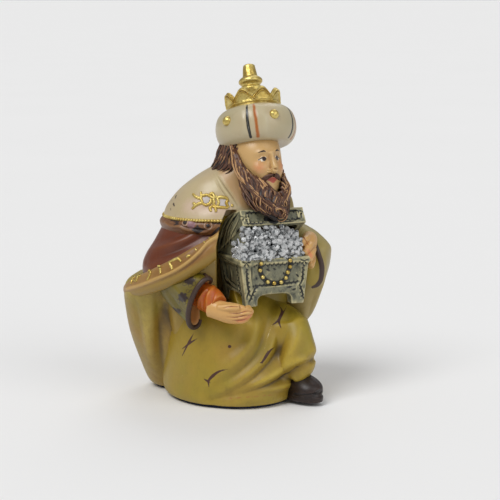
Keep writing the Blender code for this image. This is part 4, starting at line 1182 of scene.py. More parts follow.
BEARD_TIP = 60.4
BEARD_LAYERS = ((0, 46), (1, 34))
BACK_LAYERS = ((0, 34), (1, 26))
SIDE_LOCKS = 15
MOUSTACHE_LOCKS = 4
HAIR_SHUFFLE = 11


def build_hair(figure):
    shuffle = np.random.default_rng(HAIR_SHUFFLE)
    strands = []
    edge = np.array(BEARD_EDGE)
    for layer, number in BEARD_LAYERS:
        for k in range(number):
            share = (k + 0.5 * layer) / (number - 1) * 2 - 1
            share = max(-1.0, min(1.0, share + shuffle.uniform(-0.02, 0.02)))
            top = np.interp(abs(share), edge[:, 0], edge[:, 1]) - layer * (1.0 + 3.0 * abs(share))
            top += shuffle.uniform(-0.3, 0.3)
            tip = BEARD_TIP + 2.6 * abs(share) ** 1.3 + shuffle.uniform(-0.2, 0.5)
            first, last = share * (1.95 - 0.25 * layer), share * (1.25 - 0.35 * layer)
            phase = shuffle.uniform(-0.2, 0.2) + 1.2 * layer
            route = []
            for t in np.linspace(0, 1, 11):
                sway = 0.16 * math.sin((2.4 + abs(share)) * math.pi * t + phase) * (0.35 + t)
                angle = first + (last - first) * t**1.4 + sway + 0.45 * t * (1 - t)
                proud = 0.05 + 0.4 * layer + 0.22 * math.sin(3 * t + 2.4 * k)
                route.append(on_sections(BEARD_SKIN, angle, top + (tip - top) * t, proud)
                    + np.array([1.1 * t**4, 0, 0]))
            strands.append(strand(route, shuffle.uniform(0.75, 1.1) - 0.15 * layer,
                shade=shuffle.uniform(-0.3, 0.16)))
    for side in (-1, 1):
        for k in range(SIDE_LOCKS):
            angle = side * (1.55 + 0.1 * k)
            top = 79.0 - 0.55 * k + shuffle.uniform(-0.6, 0.6)
            tip = 61.6 + 0.25 * k + shuffle.uniform(-0.3, 0.5)
            route = []
            for t in np.linspace(0, 1, 9):
                turned = angle - side * 0.55 * t**1.5 + 0.12 * math.sin(7.0 * t + k)
                route.append(on_sections(BEARD_CORE, turned, top + (tip - top) * t,
                    0.1 + 0.2 * math.sin(6 * t + 2 * k)))
            strands.append(strand(route, shuffle.uniform(0.8, 1.05), shade=shuffle.uniform(-0.4, 0.1)))
        for k in range(MOUSTACHE_LOCKS):
            rows = [face(side * 0.2, 9.3 - 0.25 * k, -4.0 - 0.22 * k),
                    face(side * 1.4, 9.0 - 0.15 * k, -4.25 - 0.22 * k),
                    face(side * 2.8, 8.2, -4.9 - 0.3 * k), face(side * 4.0, 7.2, -6.4),
                    face(side * 4.6, 6.6, -8.6)]
            strands.append(strand([np.array(row) for row in rows], 0.56, 10, 24, 0.8, 2))
    for layer, number in BACK_LAYERS:
        for k in range(number):
            turn = math.radians(-52 - 252 * (k + 0.5 * layer) / (number - 1))
            top = 85.0 - 1.5 * layer + shuffle.uniform(-0.5, 0.5)
            tip = 69.6 + 1.2 * layer + shuffle.uniform(-0.6, 1.3)
            sweep = -0.5 if k < number * 0.55 else 0.25
            phase = shuffle.uniform(-0.5, 0.5)
            route = []
            for t in np.linspace(0, 1, 11):
                sway = 0.15 * math.sin(3.4 * math.pi * t + 0.5 * k + phase) * (0.3 + 0.7 * t)
                angle = turn + sweep * t * t + sway
                proud = 0.35 * layer - 0.4 + 0.25 * math.sin(5 * t + k) + 2.6 * t**2.5
                route.append(on_sections(HAIR_BACK, angle, top + (tip - top) * t, proud))
            strands.append(strand(route, shuffle.uniform(0.75, 1.05) - 0.1 * layer,
                shade=shuffle.uniform(-0.4, 0.1)))
    for radius, high in ((2.5, 0.0), (1.7, 0.5), (3.2, -0.5)):
        curl = []
        for turn in np.linspace(2.9, -2.2, 10):
            reach = radius * (0.45 + 0.55 * (turn + 2.2) / 5.1)
            curl.append(np.array([18.1 + reach * math.cos(turn), -20.0 - 0.3 * high,
                62.0 + high + reach * math.sin(turn)]))
        strands.append(strand(curl, 0.62, 12, 30, 0.9, 2))
    locks = joined("locks", strands)
    core = fused("hair_core", [level_form(HAIR_BACK, 48, 24), level_form(BEARD_CORE, 48, 30)], HAIR_CORE_SKIN,
        1)
    set_mark(core, "crest", np.full(len(core.data.vertices), -1.0))
    hair = joined("hair", [locks, core])
    made, shader, place = new_material("hair_paint")
    fine = place.noise(1300, 5, 0.7)
    streak = place.stretched(1.0, 1.0, 0.35).noise(1600, 4, 0.7)
    crest = place.mark("crest") + (streak - 0.5) * 0.9 + (place.noise(300, 3) - 0.5) * 0.5
    colour = crest.step(-0.15, 0.45).mix(tone(26, 14, 11), tone(88, 54, 36))
    colour = (crest.step(0.62, 0.9) * 0.95).mix(colour, tone(192, 148, 98))
    link(colour, shader, "Base Color")
    link(0.42 + (fine - 0.5) * 0.2, shader, "Roughness")
    grained(shader, streak + fine * 0.4, 0.6)
    finished(hair, made)


# The turban's stripes: their turns in degrees, and the heights and radii that they run through
STRIPE_TURNS = (-101.5, -26, 46, 118, 168)
STRIPE_HEIGHTS = ((5.2, 10.8), (3.0, 12.5), (0.0, 13.0), (-3.0, 12.5), (-5.2, 10.9))


def build_turban(figure):
    rings = turned_rings(TURBAN_PROFILE, 220, 96)
    turban = on_hat(shaped("turban", rings))
    sculpt(turban, [
        (0.9, 0.2, 2.0, [(242, 111), (244, 124), (245, 138)]),
        (0.45, -0.22, 2.0, [(246.4, 110), (249, 124), (250.6, 137)]),
        (0.45, -0.22, 2.0, [(254.2, 107), (257, 124), (258.5, 136)]),
        (0.9, 0.2, 2.0, [(263, 107), (266, 121), (267, 136)]),
    ])
    black, orange, light = [], [], []
    for turned in STRIPE_TURNS:
        angle = math.radians(turned)
        for routes, shift, slope, widths in (
            (black, 0.01, 0.0, (0.25, 0.42, 0.5, 0.42)), (orange, 0.21, 0.002, (0.3, 0.5, 0.42, 0.55)),
            (light, 0.01, 0.0, (0.01, 0.03, 0.07, 0.04)),
        ):
            route = []
            for z, r in STRIPE_HEIGHTS:
                a = angle + shift - slope * z
                route.append(tuple(HAT_TURN @ np.array([math.cos(a) * r, math.sin(a) * r, z]) + HAT_CENTRE))
            routes.append((widths, route))
    painted(turban, "black", black)
    painted(turban, "orange", orange)
    # The pale mark is a painted highlight: a thin glint down the middle of each glossy black stripe.
    painted(turban, "pale", light)
    read_relief(turban, 3, 50)
    coats = [("orange", (166, 92, 24), 0.3), ("black", (22, 22, 19), 0.12), ("pale", (188, 186, 176), 0.08)]
    material = resin("turban_paint", (177, 165, 132), (190, 179, 148), (143, 124, 91), wash=(110, 84, 56),
                     washed=0.5,
                     rubbed=0.2, coats=coats, gloss=0.34,
                     tints=[((169, 157, 122), 50, 0.7), ((186, 167, 134), 80, 0.5)])
    finished(turban, material)


def gold(name, rough, dark):
    """Gilt metal, with a dark wash of a given strength in its hollows."""
    made, shader, place = new_material(name)
    fine = place.noise(1500, 5, 0.7)
    patch = place.noise(240, 4)
    near = place.mark("near")
    body = (patch - 0.5) * 1.4 + (fine - 0.5) * 0.6
    colour = body.step(-0.35, 0.35).mix(tone(180, 148, 66), tone(224, 204, 126))
    ditch = (near + (fine - 0.5) * 0.03).step(0.015, 0.09)
    colour = (ditch * dark).mix(colour, tone(92, 52, 14))
    link(colour, shader, "Base Color")
    link(rough + (fine - 0.5) * 0.25 + ditch * 0.2, shader, "Roughness")
    link(0.8 - ditch * 0.5, shader, "Metallic")
    grained(shader, fine + patch * 1.5, 0.6, GILT_DEPTH)
    return made


# The crown: its peaks, the heights of its foot, floor and lowest rim, and its rim's half thickness
PEAKS = 8
CROWN_FOOT = 5.0
CROWN_FLOOR = 8.0
CROWN_LOW = 9.1
CROWN_RIM = 0.7
STUD_TURNS = (-134, -62, 28, 86, 152)
DENT_DEPTH = 0.05


def build_crown(figure):
    around = 288
    angles = np.arange(around) * 2 * math.pi / around
    wave = 0.5 - 0.5 * np.cos(PEAKS * angles)
    tops = CROWN_LOW + 2.7 * wave**0.6
    rings = []
    for share in (0.0, 0.5, 1.0):
        rings.append((np.full(around, 2.0 + 5.6 * share), np.full(around, CROWN_FOOT)))
    for share in np.linspace(0, 1, 44):
        z = CROWN_FOOT + (tops - CROWN_RIM - CROWN_FOOT) * share
        r = 7.95 + 0.6 * share + 0.35 * wave * share
        r = r + 0.34 * np.exp(-(((z - 6.1) / 0.3) ** 2)) + 0.34 * np.exp(-(((z - 7.1) / 0.3) ** 2))
        for offset in (0.85, 1.65):
            r = r + 0.42 * np.exp(-(((z - tops + offset) / 0.22) ** 2))
        rings.append((r, z))
    edge = 8.55 + 0.35 * wave - CROWN_RIM
    for turn in np.linspace(0.15, math.pi, 9):
        rings.append((edge + CROWN_RIM * np.cos(turn), tops - CROWN_RIM + CROWN_RIM * np.sin(turn)))
    for share in np.linspace(0.15, 1, 8):
        z = tops - CROWN_RIM + (CROWN_FLOOR - tops + CROWN_RIM) * share
        rings.append((edge - CROWN_RIM - 0.2 * share, z))
    for radius, z in ((5.6, CROWN_FLOOR), (3.6, CROWN_FLOOR + 0.4), (2.0, CROWN_FLOOR + 0.6)):
        rings.append((np.full(around, radius), np.full(around, z)))
    wall = [np.column_stack([np.cos(angles) * r, np.sin(angles) * r, z]) for r, z in rings]
    crown = shaped("crown", np.array(wall))
    finial = [
        (4.4, 7.6), (3.9, 8.6), (3.6, 9.8), (3.6, 11.2), (3.8, 12.2), (3.8, 13.0), (3.45, 13.5), (2.95, 13.9),
        (3.1, 14.4),
        (3.75, 15.1), (3.8, 15.8), (3.4, 16.4), (2.8, 16.8), (2.4, 17.1), (2.25, 18.2), (2.0, 20.0),
        (1.75, 20.8), (1.0, 21.2),
    ]
    parts = [on_hat(crown), on_hat(shaped("finial", turned_rings(finial, 64, 110)))]
    for turned in STUD_TURNS:
        angle = math.radians(turned)
        rows = [(math.cos(angle) * r, math.sin(angle) * r, 1.2, w, w) for r, w in
                ((12.3, 1.6), (13.0, 1.55), (13.5, 1.3), (13.9, 0.85), (14.05, 0.3))]
        parts.append(on_hat(shaped("stud", limb_rings(rows, 20, 12))))
    crown = joined("crown", parts)
    places, out = points(crown), normals(crown)
    dents = np.sin(places[:, 0] * 3.1 + 1.0) * np.sin(places[:, 1] * 2.7) * np.sin(places[:, 2] * 2.3)
    move(crown, places + out * dents[:, None] * DENT_DEPTH)
    read_relief(crown, 3, 12)
    finished(crown, gold("crown_gold", 0.34, 0.9), angle=60)


# Hands, shoe and pad

SHOE_FLOOR = 1.2
THUMB = [(-1.0, -30.0, 34.4), (2.2, -31.0, 34.6), (5.0, -30.6, 34.6)]
THUMB_RADIUS = 1.1


def finger(joints, radius):
    rows = [(*joint, radius, radius) for joint in joints]
    last = np.array(joints[-1])
    rows.append((*(last + (last - np.array(joints[-2])) * 0.2), radius * 0.6, radius * 0.6))
    return limb_form(rows, 16, 18)


def build_hands(figure):
    near = [limb_form(NEAR_PALM)] + [finger(joints, FINGER_RADIUS) for joints in NEAR_FINGERS]
    near.append(finger(THUMB, THUMB_RADIUS))
    far = [limb_form(FAR_PALM)] + [finger(joints, FINGER_RADIUS) for joints in FAR_FINGERS]
    hands = fused("hands", near + far, figure.face_skin, 2)
    lines = [
        [(223, 308), (231, 306.6), (240, 307)], [(229, 313), (238, 313.4), (247, 311), (252, 311.6)],
        [(226, 317), (236, 317.4), (246, 315.4), (251, 315)], [(232, 320.6), (240, 320.4), (247, 318.6)],
        [(240, 302), (244, 304.6), (246, 308)],
        [(294, 240), (300, 243), (305, 250)], [(297, 234), (304, 238), (309, 246)],
        [(300, 250), (304, 256), (307, 262)],
    ]
    sculpt(hands, [(0.28, -0.32, 2.0, line) for line in lines]
        + [(0.7, 0.3, 2.0, [(228, 303), (236, 303), (242, 305)])])
    painted(hands, "line", [((0.05, 0.16, 0.05), line) for line in lines])
    painted(hands, "red", [((0.3, 0.7, 0.4), [(238, 321), (246, 319), (252, 314)]),
        ((0.3, 0.6), [(308, 250), (311, 256)])])
    read_relief(hands, 3, 24)
    coats = [("red", (206, 128, 84), 0.8), ("line", (150, 84, 50), 0.12)]
    material = resin("hand_paint", (204, 157, 93), (216, 177, 114), (172, 115, 61), wash=(158, 84, 48),
                     washed=0.75, rubbed=0.2, coats=coats, gloss=0.38, grain=0.1, hollow=0.07)
    finished(hands, material)


def build_shoe(figure):
    sole = [(25.4, -11.9, z, 5.0 - inset, 8.6 - inset, 42)
        for z, inset in ((1.15, 0.5), (1.4, 0.1), (2.7, 0.0), (3.1, 0.3))]
    upper = [(25.4, -11.9, z, 4.7 - inset, 8.1 - inset, 42)
        for z, inset in ((2.9, 0.2), (3.6, 0.0), (4.6, 0.2), (5.6, 1.0))]
    forms = [limb_form(SHOE, 40, 30), level_form(sole, 64, 16), level_form(upper, 64, 16)]
    shoe = fused("shoe", forms, figure.fine_skin, 1)
    places = points(shoe)
    places[:, 2] = np.maximum(places[:, 2], SHOE_FLOOR)
    move(shoe, places)
    sculpt(shoe, [(0.3, -0.45, 2.0, [(294, 394.6), (306, 395), (318, 393.6), (322, 391)]),
                  (0.6, 0.25, 2.0, [(300, 380), (310, 378), (318, 384)])])
    read_relief(shoe, 3, 20)
    material = resin("shoe_paint", (28, 11, 4), (56, 31, 18), (20, 8, 4), wash=(10, 6, 4), rubbed=0.5,
        gloss=0.5, mottle=0.35)
    finished(shoe, material)


def build_pad(figure):
    plates = []
    for rows in (SKIRT, SIDE_FALL, BACK_FALL):
        x, y, _, across, along, turn = rows[0]
        flat = [(x, y, z, across - inset, along - inset, turn)
            for z, inset in ((0.0, 1.5), (0.15, 1.25), (0.65, 1.25), (0.8, 1.4))]
        plates.append(shaped("plate", level_rings(flat, 96, 6)))
    pad = fused("pad", plates, PAD_SKIN, 0)
    made, shader, place = new_material("felt")
    fibre = place.noise(3000, 6, 0.8)
    link(fibre.mix(tone(16, 20, 40), tone(40, 46, 72)), shader, "Base Color")
    link(0.85 + fibre * 0.1, shader, "Roughness")
    grained(shader, fibre, 0.5)
    finished(pad, made, "felt_pad")


# Gilt lines

FLOURISH_WIRE = 0.54
BAND_WIRE = 0.5
FINE_WIRE = 0.3
HEM_HEIGHT = 59.7
HEM_BEAD = (0.62, 0.52)
HEM_STEP = 0.95


def build_trim(figure):
    pieces = []

    def wire(route, radius, skin):
        line = on_skin(skin, route)
        sizes = radius * (0.6 + 0.4 * np.sin(math.pi * np.linspace(0.1, 0.9, len(line))))
        rows = np.column_stack([line, sizes, sizes])
        pieces.append(shaped("wire", limb_rings(rows, 10, max(8, 3 * len(rows)))))

    hem = np.array([on_sections(CAPELET, angle, HEM_HEIGHT, 0.15)
        for angle in np.linspace(-math.pi, math.pi, 200)])
    hidden = (hem[:, 0] > 0.8) & (hem[:, 1] < -4.0)
    last = np.flatnonzero(hidden)
    hem = np.concatenate([hem[last[-1] + 1:], hem[1:last[0]]])
    pieces.extend(beads_along(hem, HEM_STEP, HEM_BEAD, 0.7))
    flourish = [
        [(193, 194), (196, 197), (201, 198), (201, 192)],
        [(200, 197), (202, 202), (198, 204), (195, 206), (192, 209)],
        [(193, 203), (196, 205)], [(201, 195), (204, 195.5), (207, 195), (211, 197)],
        [(211, 199), (210, 203), (206, 205), (202, 203)],
        [(213, 194), (214.5, 196.5), (217, 197)], [(210, 196), (213.5, 198), (217, 196)],
        [(213, 198), (214, 202), (213, 206)],
        [(213, 206), (210, 208), (211, 211.5)], [(213, 206), (215.5, 208.5), (216, 212)],
        [(217, 198), (221, 197), (226, 198), (228, 200)],
        [(228, 200), (226.5, 203), (228.5, 207.5)], [(228, 208), (223, 207.4), (217, 207), (214, 205)],
        [(217, 198), (218.5, 202), (217.5, 206)],
        [(231, 205), (233, 206)], [(209, 195), (212, 193.5), (214, 194.4)],
    ]
    cape = skin_of(bpy.data.objects["capelet"])
    for route in flourish:
        wire(route, FLOURISH_WIRE, cape)
    band = skin_of(bpy.data.objects["mantle_band"])
    for route in (
        [(131, 284), (133, 279), (137, 276), (140, 272)], [(136, 281), (139, 276), (143, 272)],
        [(133, 280), (137, 281)],
        [(147, 280.5), (150.6, 273), (149, 270), (154, 268), (159.3, 266.4), (160.7, 273.6)],
        [(168.6, 262.6), (173, 260.4), (177.9, 258.6), (181.4, 261.6)], [(169.3, 262), (172.4, 269.4)],
        [(172, 269), (171.4, 265)], [(186.6, 256.8), (190.4, 255.4)],
    ):
        wire(route, BAND_WIRE, band)
    for route in ([(195, 248.6), (196.6, 250.4)], [(203.6, 241.4), (205, 243)], [(209, 237.4), (210.4, 239)]):
        wire(route, FINE_WIRE, band)
    trim = joined("gold_trim", pieces)
    read_relief(trim, 2, 8)
    finished(trim, gold("trim_gold", 0.42, 0.4))


# The chest, its beads and its chips

WALL = 1.6
LID_TAPER = 0.90
LID_LEAN = 1.0
LID_ARCH = 2.0
RIM_HEIGHT = 2.2
RIM_PROUD = 0.4
FOOT_LEG = 4.0
FOOT_ARCH = 3.6
# Half width of the dark band under the beads: their wash and their painted shadow
BEAD_WASH_AND_SHADOW = 0.85


def build_chest(figure):
    chest = bpy.context.scene.chest_sizes
    width, depth, height = chest.width / MM, chest.depth / MM, chest.height / MM
    taper = chest.taper
    half, deep = width / 2, depth / 2
    parts = []

    def lofted(levels):
        rings = []
        for z, w, d in levels:
            rings.append([(-w, -d, z), (w, -d, z), (w, d, z), (-w, d, z)])
        return shaped("block", np.array(rings, float))

    body_top = height - RIM_HEIGHT
    parts.append(lofted([(0.0, half * taper - 0.5, deep - 0.5), (body_top, half - 0.5, deep - 0.5)]))
    parts.append(lofted([(body_top, half, deep), (body_top + 0.6, half + RIM_PROUD, deep + RIM_PROUD),
                         (height - 0.3, half + RIM_PROUD, deep + RIM_PROUD),
                         (height, half + 0.1, deep + 0.1)]))
    for sx in (-1, 1):
        for sy in (-1, 1):
            rings = []
            for z, w in ((0.0, 3.4), (2.0, 3.0), (body_top, 3.2)):
                edge = half * (taper + (1 - taper) * z / body_top)
                x0, x1 = sorted((sx * edge, sx * (edge - w)))
                y0, y1 = sorted((sy * deep, sy * (deep - w)))
                rings.append([(x0, y0, z), (x1, y0, z), (x1, y1, z), (x0, y1, z)])
            parts.append(shaped("post", np.array(rings)))
    parts.append(block((width * 0.9, depth, 1.5), (0, 0, FOOT_ARCH + 0.9)))
    body = joined("chest", parts)
    skinned(body, CHEST_FIRST_SKIN)
    cutters = []
    for along_depth, reach, side in ((True, depth, half * taper - FOOT_LEG), (False, width, deep - FOOT_LEG)):
        angles = np.linspace(0, math.pi, 13)
        x = np.concatenate([[side], side * np.sign(np.cos(angles)) * np.abs(np.cos(angles)) ** 0.5, [-side]])
        z = np.concatenate([[-1.0], FOOT_ARCH * np.sin(angles) ** 0.5, [-1.0]])
        ends = [np.column_stack([x, np.full(len(x), end), z] if along_depth else [np.full(len(x), end), x, z])
            for end in (-reach, reach)]
        cutters.append(shaped("arch", np.array(ends)))
    cutters.append(block((width - 2 * WALL, depth - 2 * WALL, 9.0), (0, 0, height)))
    for cutter in cutters:
        cut(body, cutter)
    whole = fused("chest", [body, shaped_lid(chest)], figure.chest_skin, 1)
    on_chest(whole)
    sculpt(whole, chest_lines())
    read_relief(whole, 3, 14)
    # The dark coat is rubbed ink in the carving, and painted shadow under the beads and the front arch.
    coats = [("ink_and_shadow", (18, 20, 20), 0.16)]
    painted(whole, "ink_and_shadow", chest_ink_and_shadow())
    material = resin("chest_paint", (116, 115, 92), (190, 180, 136), (48, 53, 46), wash=(18, 22, 20),
                     washed=0.9, rubbed=1.0,
                     coats=coats, gloss=0.45, grain=0.9, hollow=0.05, reach=0.3, mottle=0.6)
    finished(whole, material)


def shaped_lid(chest):
    """The hollow lid with its straps and lock, raised about the chest's back edge."""
    width, depth, height = chest.width / MM, chest.depth / MM, chest.height / MM
    front = chest.lid_height / MM
    parts = []

    def slab(half_width, depths, lows, highs):
        rings = []
        for d, low, high in zip(depths, lows, highs):
            share = d / depth
            half = half_width - (1.0 - LID_TAPER) * width / 2 * share
            left, right = LID_LEAN * share - half, LID_LEAN * share + half
            rings.append([(left, -d, low), (left, -d, high), (right, -d, high), (right, -d, low)])
        return shaped("slab", np.array(rings, float))

    depths = np.linspace(0, depth, 15)
    lid = slab(width / 2 + 0.4, depths, np.zeros(15), front + LID_ARCH * np.sin(math.pi * depths / depth))
    hollow = slab(width / 2 - WALL, [WALL, depth - WALL], [-4, -4], [front - WALL, front - WALL])
    cut(lid, hollow)
    parts.append(lid)
    w = width * LID_TAPER / 2 + 0.4
    for x in (LID_LEAN - w + 1.2, LID_LEAN + w - 1.2):
        parts.append(block((2.4, 0.9, front), (x, -depth - 0.1, front / 2)))
    parts.append(block((2 * w, 0.8, 1.1), (LID_LEAN, -depth - 0.1, 0.55)))
    parts.append(block((2 * w, 0.8, 0.9), (LID_LEAN, -depth - 0.1, front - 0.45)))
    parts.append(block((4.2, 1.2, 3.4), (LID_LEAN - 0.4, -depth - 0.1, 2.3)))
    near_end = []
    for d, drop in ((0.4, -0.2), (depth * 0.3, -3.4), (depth * 0.62, -6.4), (depth * 0.8, -6.0),
            (depth * 0.97, 0.6)):
        left = LID_LEAN * d / depth - width / 2 + (1.0 - LID_TAPER) * width / 2 * d / depth
        near_end.append([(left, -d, drop), (left, -d, 1.0), (left + 1.3, -d, 1.0), (left + 1.3, -d, drop)])
    parts.append(shaped("near_end", np.array(near_end)))
    lid = joined("lid", parts)
    angle = -chest.lid_opening
    c, s = math.cos(angle), math.sin(angle)
    places = points(lid)
    y, z = places[:, 1].copy(), places[:, 2].copy()
    places[:, 1] = y * c - z * s + depth / 2
    places[:, 2] = y * s + z * c + height
    move(lid, places)
    return lid


def chest_lines():
    """Carved lines and raised corners on the chest's face and sides."""
    grooves = [
        [(255, 266), (270, 265.4), (285, 264.6), (301.5, 262.8)],
        [(253, 286.2), (270, 285), (285, 283.4), (299, 281.6)],
        [(246.6, 270), (247.6, 284), (250, 296)], [(251.8, 268), (252.6, 284)],
        [(303.4, 265), (302.6, 279), (299.6, 285)],
        [(249.4, 291), (246.6, 299)], [(256, 286.6), (253, 294), (249, 303)],
        [(299.6, 285), (302.8, 293), (303.4, 299)],
        [(221.6, 262), (223.6, 276), (231.4, 286), (238, 290)], [(236.6, 266), (238.4, 282), (241, 298)],
        [(240, 268), (241.6, 284), (243.6, 301)], [(222.6, 258), (229, 262), (237.6, 266)],
        [(226, 266), (228, 278), (236, 285)], [(231, 267), (233, 281)],
        [(246.4, 212.8), (262, 212.2), (268, 213.6)], [(247.6, 223.6), (258, 224.2), (264.4, 223)],
        [(279, 212.6), (292, 210.4), (300, 210.6)],
        [(280, 221.4), (292, 220.6), (301.4, 217.6)], [(246, 213), (247.6, 223)],
        [(301, 211), (301.6, 217.6)],
        [(239, 212), (231, 222), (226, 234), (224, 248)], [(234, 213), (226, 224), (221, 238), (219.6, 252)],
        [(236, 216), (230, 228), (227.6, 244)], [(240, 217), (236, 226), (231, 236), (230, 246)],
    ]
    lines = [(0.3, -0.42, 2.0, route) for route in grooves]
    lines += [(0.5, 0.3, 2.0, [(255, 263.6), (285, 262), (301, 260.6)]),
              (0.5, 0.3, 2.0, [(257, 288.4), (285, 286), (298, 284.4)]),
              (1.6, 0.3, 3.0, [(262, 274), (278, 274), (294, 272)]),
              (0.8, 0.35, 2.0, [(224, 270), (228, 284)])]
    for x, y, reach in ((246.6, 265, 4.6), (304.4, 262.4, 4.2), (244.6, 219, 4.4), (303, 213, 3.2)):
        for k in range(7):
            a = math.pi * (k - 0.5) / 5
            lines.append((0.2, 0.3 if k % 2 else -0.4, 2.0,
                [(x, y - 1.6), (x + reach * math.cos(a), y - 1.6 + reach * math.sin(a))]))
    return lines


def chest_ink_and_shadow():
    """Dark toothed lines rubbed into the carving."""
    strokes = []
    for start, end, steps in (
        ((254, 266), (301.4, 262.8), 22), ((253, 286.2), (299, 281.6), 22), ((246.6, 269), (249.6, 297), 13),
        ((303.4, 265), (302.2, 282), 8), ((300.4, 286), (303.4, 299), 7), ((256, 287), (249.4, 302), 8),
        ((246.4, 212.8), (266, 212.4), 9), ((247.6, 223.6), (264.4, 223), 8), ((279, 212.6), (300, 210.6), 9),
        ((280, 221.4), (301.4, 217.6), 9), ((236.8, 267), (241, 298), 12),
    ):
        across = abs(end[0] - start[0]) > abs(end[1] - start[1])
        for k in range(steps):
            x = start[0] + (end[0] - start[0]) * k / steps
            y = start[1] + (end[1] - start[1]) * k / steps
            tilt = (0.7, 1.1 * (-1) ** k) if across else (1.1 * (-1) ** k, 0.8)
            strokes.append(((0.24, 0.26), [(x, y), (x + tilt[0], y + tilt[1])]))
    for route in (
        [(266, 269), (270, 270.6)], [(273, 268.6), (276, 269.4)], [(262, 276.6), (266, 277.4)],
        [(283, 272), (284.6, 275)],
        [(296, 274), (299, 277)], [(256, 277), (257, 280)], [(292, 290), (296, 288.6)],
        [(287, 287.6), (292, 286.4)],
        [(222, 268), (226, 280), (232, 288)], [(230, 270), (231, 282)],
        [(219.6, 252), (222, 240), (226, 230)], [(232, 222), (236, 216)], [(240, 228), (236, 233)],
    ):
        strokes.append(((0.1, 0.4, 0.1), route))
    strokes.append(((0.8, 1.5, 1.5, 0.9), [(266, 218.6), (271, 219), (275, 219.4), (278.6, 217.6)]))
    # Painted shade under the front arch, where the back leg would be seen.
    strokes.append(((0.5, 0.6), [(276.6, 295), (281.4, 296)]))
    # A dark band under the beads: the wash at their foot and their painted shadow on the chest.
    strokes.append(((BEAD_WASH_AND_SHADOW,) * len(BEAD_SPOTS), BEAD_SPOTS))
    return strokes


BEAD_SPOTS = [
    (261.2, 263.7), (260.1, 270.4), (262.7, 277.1), (267.8, 281.9), (274.2, 283.2), (281.1, 282.2),
    (285.9, 277.8), (287.8, 272.3), (290, 266.6), (290.2, 260.4), (287.1, 255.6),
]


def build_beads(figure):
    chest = bpy.context.scene.chest_sizes
    tree = skin_of(bpy.data.objects["chest"])
    beads = []
    for x, y in BEAD_SPOTS:
        place = on_skin(tree, [(x, y)])[0]
        deselect()
        bpy.ops.mesh.primitive_uv_sphere_add(segments=20, ring_count=12, radius=chest.bead,
            location=Vector(place + BACK * 0.2) * MM)
        bead = bpy.context.view_layer.objects.active
        bpy.ops.object.transform_apply(location=True, rotation=True, scale=True)
        beads.append(bead)
    beads = joined("beads", beads)
    read_relief(beads, 1, 2)
    finished(beads, gold("bead_gold", 0.3, 0.0))


# The chips: rows and columns of each layer, those on the rim and beside the lid, and their shuffle
CHIP_ROWS = 7
CHIP_COLUMNS = 11
RIM_CHIPS = 18
SIDE_CHIPS = 30
CHIP_SHUFFLE = 5


def build_chips(figure):
    chest = bpy.context.scene.chest_sizes
    width, depth, height = chest.width / MM, chest.depth / MM, chest.height / MM
    shuffle = np.random.default_rng(CHIP_SHUFFLE)
    rise = math.tan(chest.lid_opening) * 0.93
    half = width / 2
    spots = []
    for layer in (0, 1):
        for row in range(CHIP_ROWS):
            for column in range(CHIP_COLUMNS):
                share = row / (CHIP_ROWS - 1)
                shift = 0.5 * ((row + layer) % 2)
                x = (half - 1.9) * (-1 + 2 * (column + shift) / (CHIP_COLUMNS - 0.5)) + shuffle.uniform(-0.5,
                    0.5)
                front = -depth / 2 + 0.9 + 1.3 * layer + 2.4 * share**1.3 + shuffle.uniform(-0.5, 0.5)
                fall = 1.0 - 0.42 * max(0.0, x / half - 0.4) / 0.6
                z = height - 0.2 + (depth / 2 - front) * rise * share * fall - layer * 0.3
                spots.append((x, front, z + shuffle.uniform(-0.4, 0.4), shuffle.uniform(1.0, 1.4)))
    for k in range(RIM_CHIPS):
        x = -half + 0.4 + 0.55 * k + shuffle.uniform(-0.2, 0.2)
        spots.append((x, -depth / 2 + shuffle.uniform(-0.9, 0.3), height + shuffle.uniform(0.2, 1.3),
            shuffle.uniform(0.75, 1.1)))
    for k in range(SIDE_CHIPS):
        run = k % 10
        spots.append((-half + 0.7 + shuffle.uniform(-0.4, 0.9), -depth / 2 + 0.9 + 0.8 * run,
                      height + 0.4 + 1.7 * (k // 10) * run / 9
                      + shuffle.uniform(0, 1.2), shuffle.uniform(0.85, 1.2)))
    chips = []
    for x, y, z, radius in spots:
        deselect()
        bpy.ops.mesh.primitive_ico_sphere_add(subdivisions=1, radius=radius * MM,
                                              location=(x * MM, y * MM, z * MM),
                                              rotation=tuple(shuffle.uniform(0, 3.14, 3)),
                                              scale=tuple(shuffle.uniform(0.72, 1.15, 3)))
        bpy.ops.object.transform_apply(location=True, rotation=True, scale=True)
        chips.append(bpy.context.view_layer.objects.active)
    heap = on_chest(joined("clear_chips", chips))
    facets = heap.data.attributes.new("facet", "FLOAT", "FACE")
    facets.data.foreach_set("value", shuffle.uniform(0.0, 1.0, len(heap.data.polygons)).astype(np.float32))
    made, shader, place = new_material("clear_chip")
    haze = place.noise(420, 3)
    facet = place.mark("facet") + (haze - 0.5) * 0.3
    # The chips' colour is painted light: each facet is painted a random grey or white, as the glints and dark
    # reflections that clear facets show.
    painted_glints = facet.step(0.1, 0.5).mix(tone(132, 136, 138), tone(232, 234, 234))
    link(facet.step(0.72, 0.84).mix(painted_glints, tone(255, 255, 255)), shader, "Base Color")
    link(haze.step(0.45, 0.7) * 0.08 + 0.03, shader, "Roughness")
    shader.inputs["Transmission Weight"].default_value = 0.45
    shader.inputs["IOR"].default_value = 1.6
    finished(heap, made, "crystal_chips", angle=10)
    bed = lofted_bed(width, depth, height)
    # The bed is painted shade between the chips, with painted silver highlights on its crests.
    dark = resin("bed_paint", (96, 98, 106), (196, 198, 206), (36, 38, 44), wash=(18, 20, 24), gloss=0.35,
        grain=0.6, mottle=0.7)
    read_relief(bed, 2, 10)
    finished(bed, dark)


